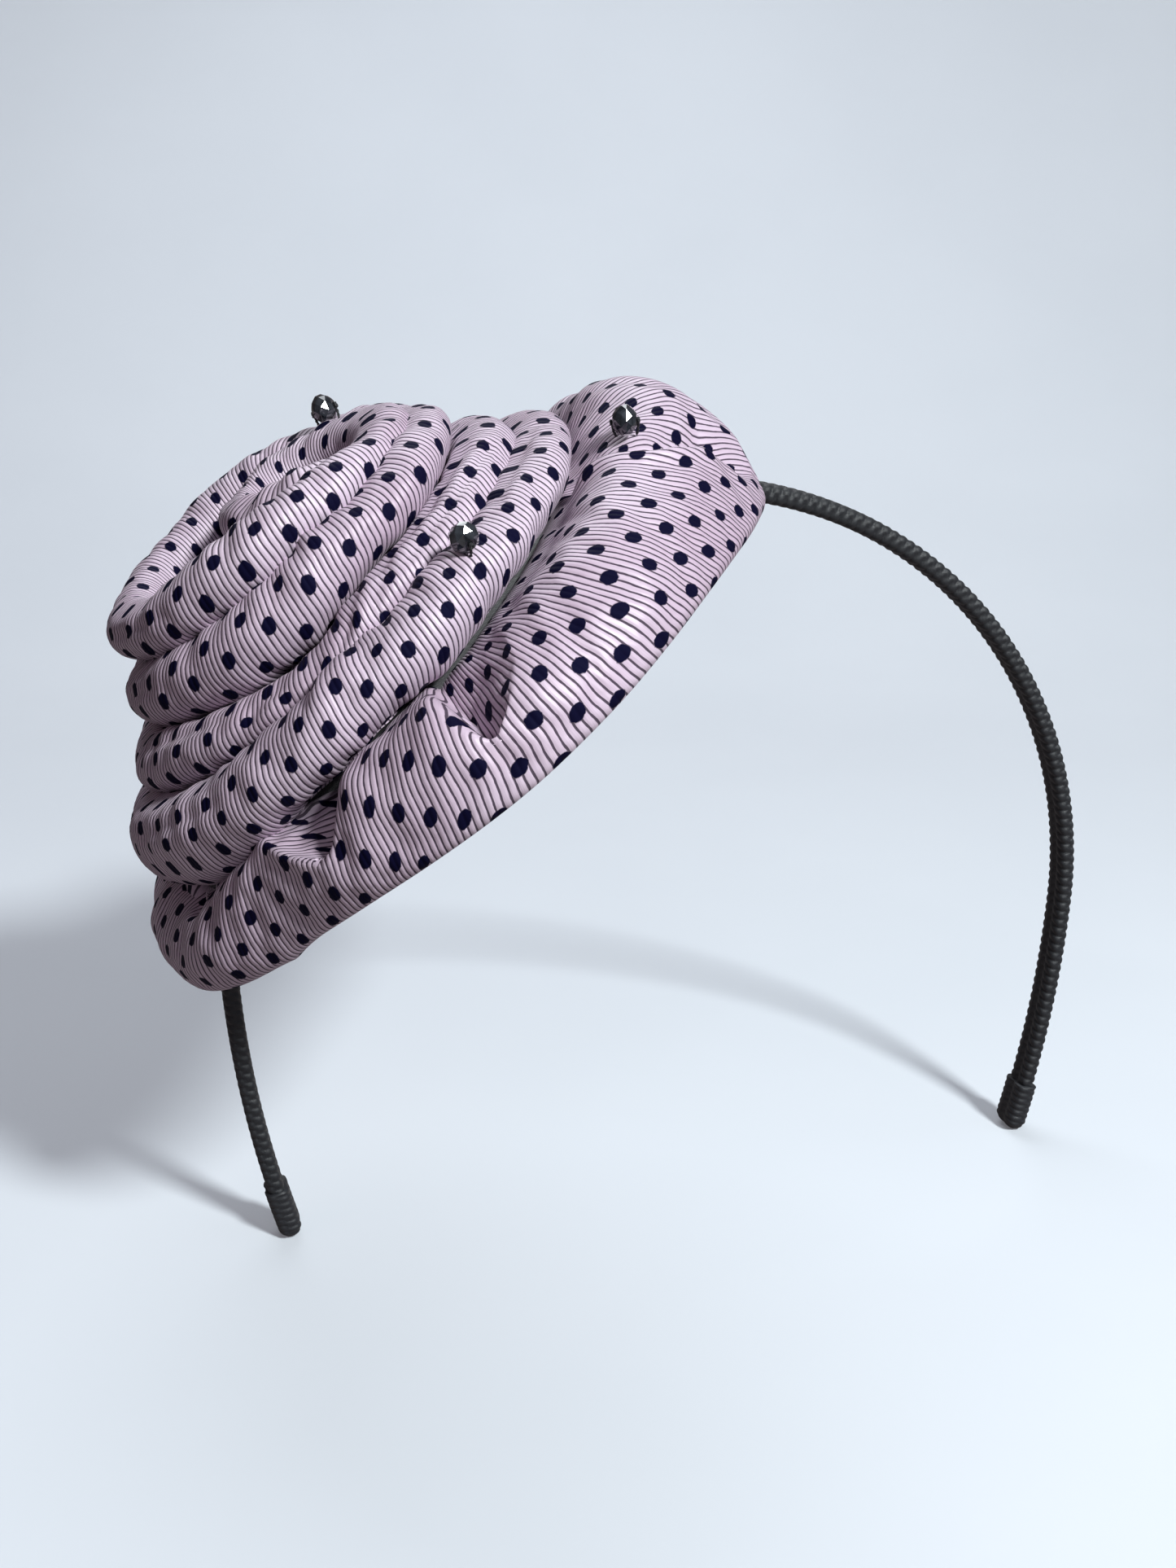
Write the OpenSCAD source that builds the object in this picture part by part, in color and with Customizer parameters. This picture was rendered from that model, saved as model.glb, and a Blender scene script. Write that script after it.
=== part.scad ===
// Fascinator headpiece: a necktie wound on edge into a spiral rosette, its wide end
// opened out as a skirt, sewn to a small domed base on a thin braid-covered sprung
// headband. Millimetres. Origin at the centre of the headband's arc. +Z up, -Y the
// front of the head, +X the wearer's left. The rosette leans to the wearer's right.

/* [Headband] */
// Inside radius of the arc over the top of the head
band_r = 76; // [74:0.5:78]
// Thickness of the braid-covered band
band_t = 3; // [2.8:0.1:3.2]
// Width of the band, front to back
band_w = 5.6; // [5.4:0.1:6.4]
// Bevel that stands for the braid's soft edges
band_bevel = 0.8; // [0.5:0.1:0.9]
// Thickness of the sprung core strip
core_t = 1.4; // [1:0.1:1.5]
// Width of the sprung core strip
core_w = 4; // [3.4:0.1:4.2]
// Gap all round between core strip and braid
core_gap = 0.05; // [0.03:0.01:0.08]
// Radius of the inward curve below the widest point
arm_curve_r = 217; // [190:1:300]
// How far each arm runs below the widest point
arm_drop = 48; // [40:1:56]

/* [Flex points] */
// Angle of the left flex line, from the top towards the wearer's left
flex_left_deg = 35; // [30:1:45]
// Angle of the right flex line, from the top towards the wearer's right
flex_right_deg = 86; // [85:0.5:87]
// Running gap of the rounded end in its hollow
flex_gap = 0.1; // [0.08:0.01:0.15]

/* [End caps] */
// Length of the braid cap sewn over each band end
cap_len = 9; // [7:0.5:12]
// Wall of the cap over the band
cap_wall = 0.6; // [0.5:0.1:0.9]

/* [Rosette position] */
// Lean of the rosette's axis from the top towards the wearer's right
lean_deg = 38.5; // [36:0.5:41]

/* [Base] */
// Inside radius of the domed lining
dome_r = 88; // [87.5:0.1:89]
// Distance of the dome's centre below the band's centre, along the rosette's axis
dome_drop = 8.6; // [8.2:0.1:8.6]
// Thickness of the felt lining
lining_t = 1; // [0.8:0.1:1]
// Thickness of the buckram plate
plate_t = 1.4; // [1.2:0.1:1.4]
// Distance of the plate's edge from the axis
plate_rim = 45; // [44.5:0.1:45]
// Wire thickness at the plate's edge
wire_d = 1.5; // [1.2:0.1:1.6]
// Outside radius of the rolled binding
bind_r = 2.4; // [2.3:0.05:2.45]

/* [Necktie rosette] */
// Centre-line radius of the outer turn
coil_r0 = 40.5; // [40:0.1:40.6]
// Distance from one turn to the next
coil_pitch = 6.3; // [6.1:0.1:6.4]
// Slack between neighbouring turns
coil_slack = 0.3; // [0.2:0.05:0.4]
// Height of the outer turn's fold centre
coil_h_outer = 78.5; // [77.5:0.5:79.5]
// Height of the highest fold centre
coil_h_peak = 98; // [95:0.5:98.5]
// Thickness of silk and its backing on each side of a turn
silk_t = 0.9; // [0.7:0.1:1.1]

/* [Skirt] */
// Radius of the skirt's roll, outside face
skirt_r = 17.3; // [17:0.1:17.6]
// Folded thickness of the skirt
skirt_t = 3; // [2.8:0.1:3]
// Distance of the roll's centre from the axis
skirt_reach = 41.2; // [41:0.1:41.4]
// Height at which the roll is centred
skirt_h = 61; // [60.5:0.1:61.5]

/* [Beads] */
// Largest diameter of a bead
bead_d = 4.4; // [4:0.1:4.5]
// Hole through a bead
bead_hole = 1; // [0.9:0.1:1.2]
// Thickness of the sewing thread
thread_d = 0.6; // [0.5:0.05:0.7]

/* [Hidden] */
$fn = 96;

SILK = [0.86, 0.78, 0.84];
BRAID = [0.06, 0.06, 0.07];
SPRING = [0.55, 0.56, 0.58];
WOOL = [0.93, 0.9, 0.84];

// leans its children onto the rosette's axis
module on_axis() { rotate([0, -lean_deg, 0]) children(); }

// ---- headband ---------------------------------------------------------------

band_mid = band_r + band_t / 2;
arm_deg = asin(arm_drop / arm_curve_r);   // sweep of the curve below the widest point
flex_r = band_t / 2 - 0.15;               // radius of the rounded end at a flex line
// lengths along the band from a flex line
braid_setback = 0.35;
crown_core_setback = 2.4;
arm_core_setback = 1.8;
channel_extra = 0.1;                      // how far a core's channel runs past it
// angles by which the core and its channel stop short of an arm's end
core_short_deg = 0.3;
channel_short_deg = 0.28;
joint_h = 2;                              // block across the join at the widest point

// angle taken up by a length along an arc
function arc_deg(length, radius = band_mid) = length / radius * 180 / PI;

// sweeps a section along the band between two angles measured from +Z towards +X
module over(from, to) {
    rotate([90, 0, 0]) rotate([0, 0, 90 - to]) rotate_extrude(angle = to - from)
        translate([band_mid, 0]) children();
}

// sweeps a section down the inward curve below the widest point
module below(sweep) {
    translate([band_mid - arm_curve_r, 0, 0]) rotate([90, 0, 0]) rotate([0, 0, -sweep])
        rotate_extrude(angle = sweep) translate([arm_curve_r, 0]) children();
}

// band section about its own middle, with its four edges bevelled
module band_section(grow = 0) {
    x = band_t / 2 + grow;
    y = band_w / 2 + grow;
    cut = band_bevel;
    polygon([[x - cut, -y], [x, -y + cut], [x, y - cut], [x - cut, y],
             [-x + cut, y], [-x, y - cut], [-x, -y + cut], [-x + cut, -y]]);
}

// core strip section, or with the gap added the channel it lies in
module core_section(gap = 0) {
    square([core_t + 2 * gap, core_w + 2 * gap], center = true);
}

// a round bar along Y at an angle round the band
module flex_bar(angle, radius, width) {
    translate([band_mid * sin(angle), 0, band_mid * cos(angle)]) rotate([90, 0, 0])
        cylinder(r = radius, h = width, center = true);
}

// crown sweep, stopping the same length short of both flex lines
module crown(setback) {
    over(-flex_right_deg + arc_deg(setback), flex_left_deg - arc_deg(setback)) children();
}
module band_core_crown() { color(SPRING) crown(crown_core_setback) core_section(); }
module band_braid_crown() {
    color(BRAID) difference() {
        crown(braid_setback) band_section();
        crown(crown_core_setback - channel_extra) core_section(core_gap);
        flex_bar(flex_left_deg, flex_r + flex_gap, band_w + 2);
        flex_bar(-flex_right_deg, flex_r + flex_gap, band_w + 2);
    }
}

// one arm from its flex line down to its end, on the wearer's left
module arm_core(flex) {
    over(flex + arc_deg(arm_core_setback), 90) core_section();
    translate([band_mid, 0, 0]) cube([core_t - 0.4, core_w - 0.4, joint_h], center = true);
    below(arm_deg - core_short_deg) core_section();
}
module arm_braid(flex) {
    difference() {
        union() {
            over(flex + arc_deg(braid_setback), 90) band_section();
            translate([band_mid, 0, 0]) cube([band_t - 0.5, band_w - 1, joint_h], center = true);
            below(arm_deg) band_section();
            flex_bar(flex, flex_r, band_w - 2 * band_bevel - 0.4);
        }
        over(flex + arc_deg(arm_core_setback - channel_extra), 90) core_section(core_gap);
        below(arm_deg - channel_short_deg) core_section(core_gap);
    }
}
// sleeve with a closed, stepped end beyond the band
module end_cap() {
    cap_deg = arc_deg(cap_len, arm_curve_r);
    wall_past_deg = 0.35;
    step_past_deg = 0.65;
    step_in = 0.75;
    fit_gap = 0.03;
    fit_deg = 0.02;
    difference() {
        translate([band_mid - arm_curve_r, 0, 0]) rotate([0, arm_deg - cap_deg, 0])
            translate([arm_curve_r - band_mid, 0, 0]) {
                below(cap_deg + wall_past_deg) band_section(cap_wall);
                below(cap_deg + step_past_deg) band_section(cap_wall - step_in);
            }
        below(arm_deg + fit_deg) band_section(fit_gap);
    }
}

module band_core_left() { color(SPRING) arm_core(flex_left_deg); }
module band_braid_left() { color(BRAID) arm_braid(flex_left_deg); }
module end_cap_left() { color([0.09, 0.09, 0.1]) end_cap(); }
module band_core_right() { color(SPRING) mirror([1, 0, 0]) arm_core(flex_right_deg); }
module band_braid_right() { color(BRAID) mirror([1, 0, 0]) arm_braid(flex_right_deg); }
module end_cap_right() { color([0.09, 0.09, 0.1]) mirror([1, 0, 0]) end_cap(); }

// ---- base -------------------------------------------------------------------

// height of the dome of a given radius at a distance from the axis
function dome_h(radius, reach) = -dome_drop + sqrt(radius * radius - reach * reach);

lining_out = dome_r + lining_t;
plate_in = lining_out + 0.1;
plate_out = plate_in + plate_t;
lining_inset = 0.6;                       // lining's edge inside the plate's
wire_reach = plate_rim + wire_d / 2 + 1;  // wire's centre line
wire_h = dome_h((dome_r + plate_out) / 2, wire_reach);
edge_tilt = asin(wire_reach / dome_r);
back_deg = 90;
wire_gap_deg = 4;
joiner_deg = 12;

// shell of a sphere centred on the rosette's axis, cut off at a distance from it
module dome(inside_r, outside_r, rim) {
    cut_from = 20;
    cut_h = 100;
    rotate_extrude() intersection() {
        translate([0, -dome_drop]) difference() {
            circle(outside_r, $fn = 180);
            circle(inside_r, $fn = 180);
        }
        translate([0, cut_from]) square([rim, cut_h]);
    }
}
module base_lining() {
    color([0.12, 0.12, 0.13]) on_axis() dome(dome_r, lining_out, plate_rim - lining_inset);
}
module base_plate() { color([0.16, 0.16, 0.17]) on_axis() dome(plate_in, plate_out, plate_rim); }

// ring of wire, its ends parted at the back
module edge_wire() {
    color([0.5, 0.51, 0.53]) on_axis() rotate([0, 0, back_deg + wire_gap_deg / 2])
        rotate_extrude(angle = 360 - wire_gap_deg)
            translate([wire_reach, wire_h]) circle(d = wire_d, $fn = 32);
}
// sleeve crimped over the two wire ends, at the back
module wire_joiner() {
    color([0.72, 0.62, 0.4]) on_axis() rotate([0, 0, back_deg - joiner_deg / 2])
        rotate_extrude(angle = joiner_deg) translate([wire_reach, wire_h]) difference() {
            circle(d = wire_d + 0.7, $fn = 32);
            circle(d = wire_d + 0.1, $fn = 32);
        }
}
// bias strip rolled over wire and plate edge, its mouth facing the middle
module base_binding() {
    bind_t = 0.6;
    mouth_h = 3.3;
    over_cut = 1;
    mouth_stop = 0.1;                     // mouth ends this far short of the wire's centre
    color([0.1, 0.1, 0.11]) on_axis() rotate_extrude()
        translate([wire_reach, wire_h]) rotate([0, 0, -edge_tilt]) difference() {
            circle(bind_r);
            circle(bind_r - bind_t);
            translate([-bind_r - over_cut, -mouth_h / 2])
                square([bind_r + over_cut - mouth_stop, mouth_h]);
        }
}

// thread bars up from beside the band's two edges to the lining, knotted below
module band_stitches() {
    stitch_y = band_w / 2 + thread_d / 2 + 0.25;
    clear = 0.15 + 0.1;                   // below the lining
    color([0.04, 0.04, 0.05]) on_axis() for (side = [-1, 1], angle = [-24 : 12 : 24]) {
        // distance from the band's centre to the lining at this angle
        lining_at = -dome_drop * cos(angle)
            + sqrt(dome_r * dome_r - pow(dome_drop * sin(angle), 2));
        translate([0, side * stitch_y, 0]) rotate([0, angle, 0]) {
            translate([0, 0, band_mid])
                cylinder(d = thread_d, h = lining_at - band_mid - clear, $fn = 24);
            translate([0, 0, band_mid]) sphere(d = thread_d + 0.3, $fn = 24);
        }
    }
}

// short radial threads between the binding and the skirt's inside face
module skirt_tacks() {
    count = 10;
    step = 360 / count;
    from = wire_reach + bind_r + 0.05;
    face_gap = 0.75;
    to = skirt_reach + sqrt(pow(skirt_in - face_gap, 2) - pow(wire_h - skirt_h, 2));
    color([0.8, 0.74, 0.78]) on_axis() for (i = [0 : count - 1])
        rotate([0, 0, step / 2 + step * i]) translate([from, 0, wire_h]) rotate([0, 90, 0])
            cylinder(d = thread_d, h = to - from, $fn = 24);
}

// ---- necktie coil -----------------------------------------------------------
// Half turns are numbered inwards from 0, the outermost.

turn_t = coil_pitch - coil_slack;         // thickness of the folded tie on edge
shift = coil_pitch / 4;                   // offset of each half turn's centre
NECK_LAST = 4;
PEAK = 7;
LAST = 10;
middle_dip = 1.2;                         // fall per half turn inside the peak
seam_deg = 0.3;                           // gap between neck and tail
foot_gap = 0.3;

// centre-line radius of a half turn
function half_r(k) = coil_r0 - k * coil_pitch / 2;
// fold height of a half turn: climbs to the peak, then dips at the middle
function fold_h(k) =
    k <= PEAK ? coil_h_outer + (coil_h_peak - coil_h_outer) * (1 - cos(180 * k / PEAK)) / 2
              : coil_h_peak - middle_dip * (k - PEAK);
// height of the core inside, never above a neighbouring half turn's fold
function core_h(k) = min(fold_h(max(k - 1, 0)), fold_h(k), fold_h(min(k + 1, LAST)));
// underside of a half turn, just clear of the plate
function foot_h(k) = dome_h(plate_out, max(half_r(k) - turn_t / 2 - shift, 0)) + foot_gap;

// half a turn of the spiral; alternate halves are struck from two centres
module half_turn(k, trim = 0) {
    translate([k % 2 == 0 ? -shift : shift, 0, 0]) rotate([0, 0, 180 * ((k + 1) % 2)])
        rotate_extrude(angle = 180 - trim, $fn = 120) translate([half_r(k), 0]) children();
}
// a fold on edge: straight sides and a round top
module fold(half_w, foot, top) {
    translate([-half_w, foot]) square([2 * half_w, top - foot]);
    translate([0, top]) circle(half_w, $fn = 48);
}
// the same with a bevelled top, for the wool inside
module flat_fold(half_w, foot, top) {
    flat = half_w * 0.6;
    crest = top + half_w * 0.7;
    polygon([[-half_w, foot], [half_w, foot], [half_w, top], [flat, crest],
             [-flat, crest], [-half_w, top]]);
}
// silk over a run of half turns, hollow and open underneath
module silk_coil(first, last) {
    foot_cut = 12;
    hollow_drop = 0.4;
    on_axis() difference() {
        for (k = [first : last])
            half_turn(k, k == last && last < LAST ? seam_deg : 0)
                fold(turn_t / 2, foot_h(k), fold_h(k));
        for (k = [first : last])
            half_turn(k)
                fold(turn_t / 2 - silk_t, foot_h(k) - foot_cut, core_h(k) - hollow_drop);
    }
}
// middle of the tie: the outer turns
module tie_neck() { color(SILK) silk_coil(0, NECK_LAST); }
// narrow end of the tie: the inner turns, down to the middle of the rosette
module tie_tail() { color(SILK * 0.97) silk_coil(NECK_LAST + 1, LAST); }
// wool strip that lies inside the folded tie
module tie_interlining() {
    side_gap = 0.15;
    foot_lift = 0.2;
    wool_drop = 0.6;
    color(WOOL) on_axis() for (k = [0 : LAST])
        half_turn(k) flat_fold(turn_t / 2 - silk_t - side_gap, foot_h(k) + foot_lift,
                               core_h(k) - wool_drop);
}

// ---- skirt ------------------------------------------------------------------

skirt_in = skirt_r - skirt_t;
skirt_mid = skirt_r - skirt_t / 2;
pocket_half = 0.75;                       // half thickness of the hollow for the wool
wool_half = 0.65;
// [start, end] angles about the roll's centre, from outwards towards up
SKIRT_SPAN = [-6, 71];
POCKET_SPAN = [-4, 68];
WOOL_SPAN = [-3, 67];
SEAM_SPAN = [62, 63.5];
TIPPING_SPAN = [0, 58];

// part of a ring between two radii over a span of angles
module roll_band(inside_r, outside_r, span) {
    far = 60;
    steps = 4;
    intersection() {
        difference() {
            circle(outside_r);
            circle(inside_r);
        }
        polygon(concat([[0, 0]], [for (i = [0 : steps])
            let (angle = span[0] + (span[1] - span[0]) * i / steps)
            far * [cos(angle), sin(angle)]]));
    }
}
// wide end of the tie opened out as a skirt, rounded at the rim
module tie_blade() {
    rim = SKIRT_SPAN[0];
    color(SILK) on_axis() rotate_extrude($fn = 120) translate([skirt_reach, skirt_h])
        difference() {
            union() {
                roll_band(skirt_in, skirt_r, SKIRT_SPAN);
                translate(skirt_mid * [cos(rim), sin(rim)]) circle(skirt_t / 2, $fn = 32);
            }
            roll_band(skirt_mid - pocket_half, skirt_mid + pocket_half, POCKET_SPAN);
            // the seam in the tie's back, where its two folded edges meet
            roll_band(skirt_in - 1, skirt_mid, SEAM_SPAN);
        }
}
module tie_blade_interlining() {
    color(WOOL) on_axis() rotate_extrude($fn = 120) translate([skirt_reach, skirt_h])
        roll_band(skirt_mid - wool_half, skirt_mid + wool_half, WOOL_SPAN);
}
// plain lining stitched behind the pointed end, under the front of the skirt
module tie_tipping() {
    start_deg = -150;
    sweep_deg = 96;
    gap = 0.1;
    tipping_t = 0.5;
    color([0.2, 0.2, 0.3]) on_axis() rotate([0, 0, start_deg])
        rotate_extrude(angle = sweep_deg, $fn = 120) translate([skirt_reach, skirt_h])
            roll_band(skirt_in - gap - tipping_t, skirt_in - gap, TIPPING_SPAN);
}

// ---- beads ------------------------------------------------------------------

// [place in the rosette's own frame, turn about its axis]
BEADS = [[[14.9, 13.5, 103.4], 20], [[17, -38.6, 87.1], -55], [[46.4, -17.2, 78.9], 35]];
drum_h = 1;
cone_h = 1.3;
bead_thread_len = 4.6;
knot_at = 2.45;                           // from the bead's middle

// faceted bead: a drum between two cut cones, with a hole through it
module bead() {
    difference() {
        union() {
            cylinder(d = bead_d, h = drum_h, center = true, $fn = 10);
            for (m = [0, 1]) mirror([0, 0, m]) translate([0, 0, drum_h / 2])
                cylinder(d1 = bead_d, d2 = bead_d * 0.5, h = cone_h, $fn = 10);
        }
        cylinder(d = bead_hole, h = 6, center = true, $fn = 24);
    }
}
module place_beads() {
    on_axis() for (place = BEADS)
        translate(place[0]) rotate([0, 0, place[1]]) rotate([0, 90, 0]) children();
}
module glass_beads() { color([0.35, 0.36, 0.4]) place_beads() bead(); }
// thread through each bead, with a knot at both ends
module bead_threads() {
    color([0.1, 0.1, 0.14]) place_beads() {
        cylinder(d = thread_d, h = bead_thread_len, center = true, $fn = 24);
        for (side = [-1, 1])
            translate([0, 0, side * knot_at]) sphere(d = thread_d + 0.4, $fn = 24);
    }
}

band_core_crown();
band_braid_crown();
band_core_left();
band_braid_left();
end_cap_left();
band_core_right();
band_braid_right();
end_cap_right();
base_plate();
base_lining();
edge_wire();
wire_joiner();
base_binding();
band_stitches();
skirt_tacks();
tie_blade();
tie_blade_interlining();
tie_tipping();
tie_neck();
tie_tail();
tie_interlining();
glass_beads();
bead_threads();
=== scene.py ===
"""A headband whose rosette is a silk tie, coiled up and opened out into a round skirt.

World frame: metres, +x to the wearer's left, -y to the front, +z up. The headband lies in the
xz plane and its crown arc is centred on the origin. The rosette leans to the wearer's right
and is worked out in mm in its own frame: a to the wearer's left, b to the front, h along its
axis. Azimuths in that frame are in degrees, 0 along a, 90 at the front and 180 opposite a.
"""

import bpy
import bmesh
import math
import numpy as np
from mathutils import Matrix, Vector
from mathutils.bvhtree import BVHTree

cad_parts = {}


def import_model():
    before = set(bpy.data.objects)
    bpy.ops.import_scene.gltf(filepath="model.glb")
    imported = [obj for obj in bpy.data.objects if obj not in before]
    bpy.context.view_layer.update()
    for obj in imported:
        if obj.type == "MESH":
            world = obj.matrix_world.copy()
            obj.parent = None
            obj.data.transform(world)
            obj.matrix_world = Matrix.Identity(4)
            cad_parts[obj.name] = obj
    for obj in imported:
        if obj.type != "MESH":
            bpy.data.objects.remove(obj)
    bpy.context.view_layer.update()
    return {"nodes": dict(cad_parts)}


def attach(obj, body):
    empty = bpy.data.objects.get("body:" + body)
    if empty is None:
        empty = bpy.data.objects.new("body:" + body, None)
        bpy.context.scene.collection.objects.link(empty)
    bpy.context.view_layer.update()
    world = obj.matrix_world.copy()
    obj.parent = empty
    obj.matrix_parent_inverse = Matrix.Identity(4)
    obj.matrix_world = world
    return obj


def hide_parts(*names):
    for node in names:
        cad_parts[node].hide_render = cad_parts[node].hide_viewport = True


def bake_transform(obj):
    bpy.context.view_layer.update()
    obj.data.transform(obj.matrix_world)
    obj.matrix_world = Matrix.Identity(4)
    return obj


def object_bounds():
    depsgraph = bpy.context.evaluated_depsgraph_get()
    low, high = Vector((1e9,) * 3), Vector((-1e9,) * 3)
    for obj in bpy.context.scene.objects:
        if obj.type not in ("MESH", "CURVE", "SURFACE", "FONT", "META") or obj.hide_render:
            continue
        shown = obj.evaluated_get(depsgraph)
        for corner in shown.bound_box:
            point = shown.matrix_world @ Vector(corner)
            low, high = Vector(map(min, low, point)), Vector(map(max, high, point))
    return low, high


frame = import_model()

MM = 0.001
LEAN = math.radians(-38.5)
AXIS_A = np.array([math.cos(LEAN), 0, -math.sin(LEAN)])
AXIS_B = np.array([0, -1.0, 0])
AXIS_H = np.array([math.sin(LEAN), 0, math.cos(LEAN)])

# the silk's printed pattern, mm
LINE_PITCH = 0.88
DOT_ROW = 4 * LINE_PITCH           # between rows of dots; also the half drop
DOT_REPEAT = 8 * LINE_PITCH        # between dots in a row

KEY_AT = (0.30, -0.66, 0.66)
CAMERA_AT = (-0.08356, -0.27396, 0.1185)
VIEW_YAW = 16.3                    # degrees from +y towards +x
VIEW_PITCH = 28.0                  # degrees down


# ---------------------------------------------------------------- numbers
def world(points):
    """Rosette-frame points (..., 3) in mm, as world points in metres."""
    a, b, h = points[..., 0:1], points[..., 1:2], points[..., 2:3]
    return (a * AXIS_A + b * AXIS_B + h * AXIS_H) * MM


def local(points):
    """World points in metres, as rosette-frame points in mm."""
    points = np.asarray(points, float) * 1000
    return np.stack([points @ AXIS_A, points @ AXIS_B, points @ AXIS_H], -1)


def polar(radius, angle, height):
    """Rosette-frame points from a radius, an azimuth in radians and a height."""
    parts = radius * np.cos(angle), radius * np.sin(angle), height
    return np.stack(np.broadcast_arrays(*parts), -1)


def table(x, stations, soften=4.0, period=None):
    """Piecewise-linear table of (x, value) rows, blurred by a Gaussian of width soften."""
    station_x, values = np.array(stations, float).T
    offsets = np.linspace(-2.5, 2.5, 21)
    weights = np.exp(-offsets ** 2 / 2)
    weights /= weights.sum()
    total = 0
    for offset, weight in zip(offsets, weights):
        total = total + weight * np.interp(x + offset * soften, station_x, values, period=period)
    return total


def smoothstep(x, low, high):
    t = np.clip((x - low) / (high - low), 0, 1)
    return t * t * (3 - 2 * t)


def bell(x, power=2):
    return np.exp(-np.abs(x) ** power)


def signed_power(x, power):
    return np.sign(x) * np.abs(x) ** power


def wrap_degrees(angle):
    return (angle + 180) % 360 - 180


def unit(vectors):
    return vectors / np.maximum(np.linalg.norm(vectors, axis=-1, keepdims=True), 1e-12)


def running_length(points, axis=0):
    """Length along each polyline, starting at 0."""
    steps = np.linalg.norm(np.diff(points, axis=axis), axis=-1)
    return np.concatenate([np.zeros_like(steps[..., :1]), np.cumsum(steps, -1)], -1)


def ripple(u, v, seed, waves, low, high):
    """Smooth seeded noise, about -1 to 1; u and v in mm, low and high in rad/mm."""
    rng = np.random.default_rng(seed)
    total = 0
    for _ in range(waves):
        frequency = rng.uniform(low, high)
        heading = rng.uniform(0, 2 * np.pi)
        along = u * np.cos(heading) + v * np.sin(heading)
        total = total + np.sin(frequency * along + rng.uniform(0, 2 * np.pi))
    return total / math.sqrt(waves)


def resample(lines, count):
    """count even points on each polyline of (lines, points, 2), and the lines' lengths."""
    length = running_length(lines, 1)
    out = np.zeros((len(lines), count, 2))
    for i, line in enumerate(lines):
        even = np.linspace(0, length[i, -1], count)
        for column in (0, 1):
            out[i, :, column] = np.interp(even, length[i], line[:, column])
    return out, length[:, -1]


def cubic(grid, count, axis, wrap):
    """Smooth resampling of a grid to count samples along one axis."""
    grid = np.moveaxis(np.asarray(grid, float), axis, 0)
    size = len(grid)
    t = np.arange(count) * (size / count) if wrap else np.linspace(0, size - 1, count)
    cell = np.floor(t).astype(int)
    f = (t - cell).reshape((-1,) + (1,) * (grid.ndim - 1))

    def sample(shift):
        index = cell + shift
        return grid[np.mod(index, size) if wrap else np.clip(index, 0, size - 1)]

    p0, p1, p2, p3 = (sample(shift) for shift in (-1, 0, 1, 2))
    out = 0.5 * (2 * p1 + (p2 - p0) * f + (2 * p0 - 5 * p1 + 4 * p2 - p3) * f ** 2
                 + (3 * p1 - p0 - 3 * p2 + p3) * f ** 3)
    return np.moveaxis(out, 0, axis)


# ---------------------------------------------------------------- meshes
def add_object(name, data):
    ob = bpy.data.objects.new(name, data)
    bpy.context.scene.collection.objects.link(ob)
    return ob


def grid_mesh(name, points, uv=None, wrap_u=False, wrap_v=False, caps=False):
    """Smooth quad grid from (nu, nv, 3) metres; uv is in mm, one longer on a wrapped axis."""
    nu, nv = points.shape[:2]
    i, j = np.meshgrid(np.arange(nu if wrap_u else nu - 1),
                       np.arange(nv if wrap_v else nv - 1), indexing="ij")
    i2, j2 = (i + 1) % nu, (j + 1) % nv
    quads = np.stack([i * nv + j, i2 * nv + j, i2 * nv + j2, i * nv + j2], -1).reshape(-1, 4)
    faces = quads.tolist()
    if caps:
        faces.append(list(range(nv)))
        faces.append([(nu - 1) * nv + k for k in range(nv - 1, -1, -1)])
    mesh = bpy.data.meshes.new(name)
    mesh.from_pydata(points.reshape(-1, 3).tolist(), [], faces)
    if uv is not None:
        corners = np.stack([uv[i, j], uv[i + 1, j], uv[i + 1, j + 1], uv[i, j + 1]], 2)
        flat = np.zeros((len(mesh.loops), 2), np.float32)
        flat[: len(quads) * 4] = corners.reshape(-1, 2)
        mesh.uv_layers.new(name="UVMap").data.foreach_set("uv", flat.ravel())
    mesh.validate()
    mesh.polygons.foreach_set("use_smooth", [True] * len(mesh.polygons))
    mesh.update()
    return add_object(name, mesh)


def grid_normals(points, wrap_u=False):
    if wrap_u:
        along_u = np.roll(points, -1, 0) - np.roll(points, 1, 0)
    else:
        along_u = np.gradient(points, axis=0)
    return unit(np.cross(along_u, np.gradient(points, axis=1)))


def face_outward(ob):
    bm = bmesh.new()
    bm.from_mesh(ob.data)
    bmesh.ops.recalc_face_normals(bm, faces=bm.faces)
    bm.to_mesh(ob.data)
    bm.free()


def thicken(ob, name, thickness, offset):
    modifier = ob.modifiers.new(name, "SOLIDIFY")
    modifier.thickness = thickness
    modifier.offset = offset


def join(obs, name):
    first = obs[0]
    with bpy.context.temp_override(active_object=first, object=first,
                                   selected_objects=obs, selected_editable_objects=obs):
        bpy.ops.object.join()
    first.name = name
    first.data.name = name
    return first


def tube(name, path, radius, sides=8):
    """Round bar along a path, all in metres."""
    tangent = unit(np.gradient(path, axis=0))
    across = np.array([0, 0, 1.0]) if abs(tangent[0][2]) < 0.9 else np.array([1.0, 0, 0])
    side = [unit(np.cross(tangent[0], across))]
    for direction in tangent[1:]:
        side.append(unit(side[-1] - direction * (side[-1] @ direction)))
    side = np.array(side)
    other = np.cross(tangent, side)
    angle = np.linspace(0, 2 * np.pi, sides, endpoint=False)[None, :, None]
    ring = np.cos(angle) * side[:, None] + np.sin(angle) * other[:, None]
    uv = np.meshgrid(running_length(path) * 1000,
                     np.linspace(0, 2 * np.pi * radius * 1000, sides + 1), indexing="ij")
    return grid_mesh(name, path[:, None] + radius * ring, np.stack(uv, -1),
                     wrap_v=True, caps=True)


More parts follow.
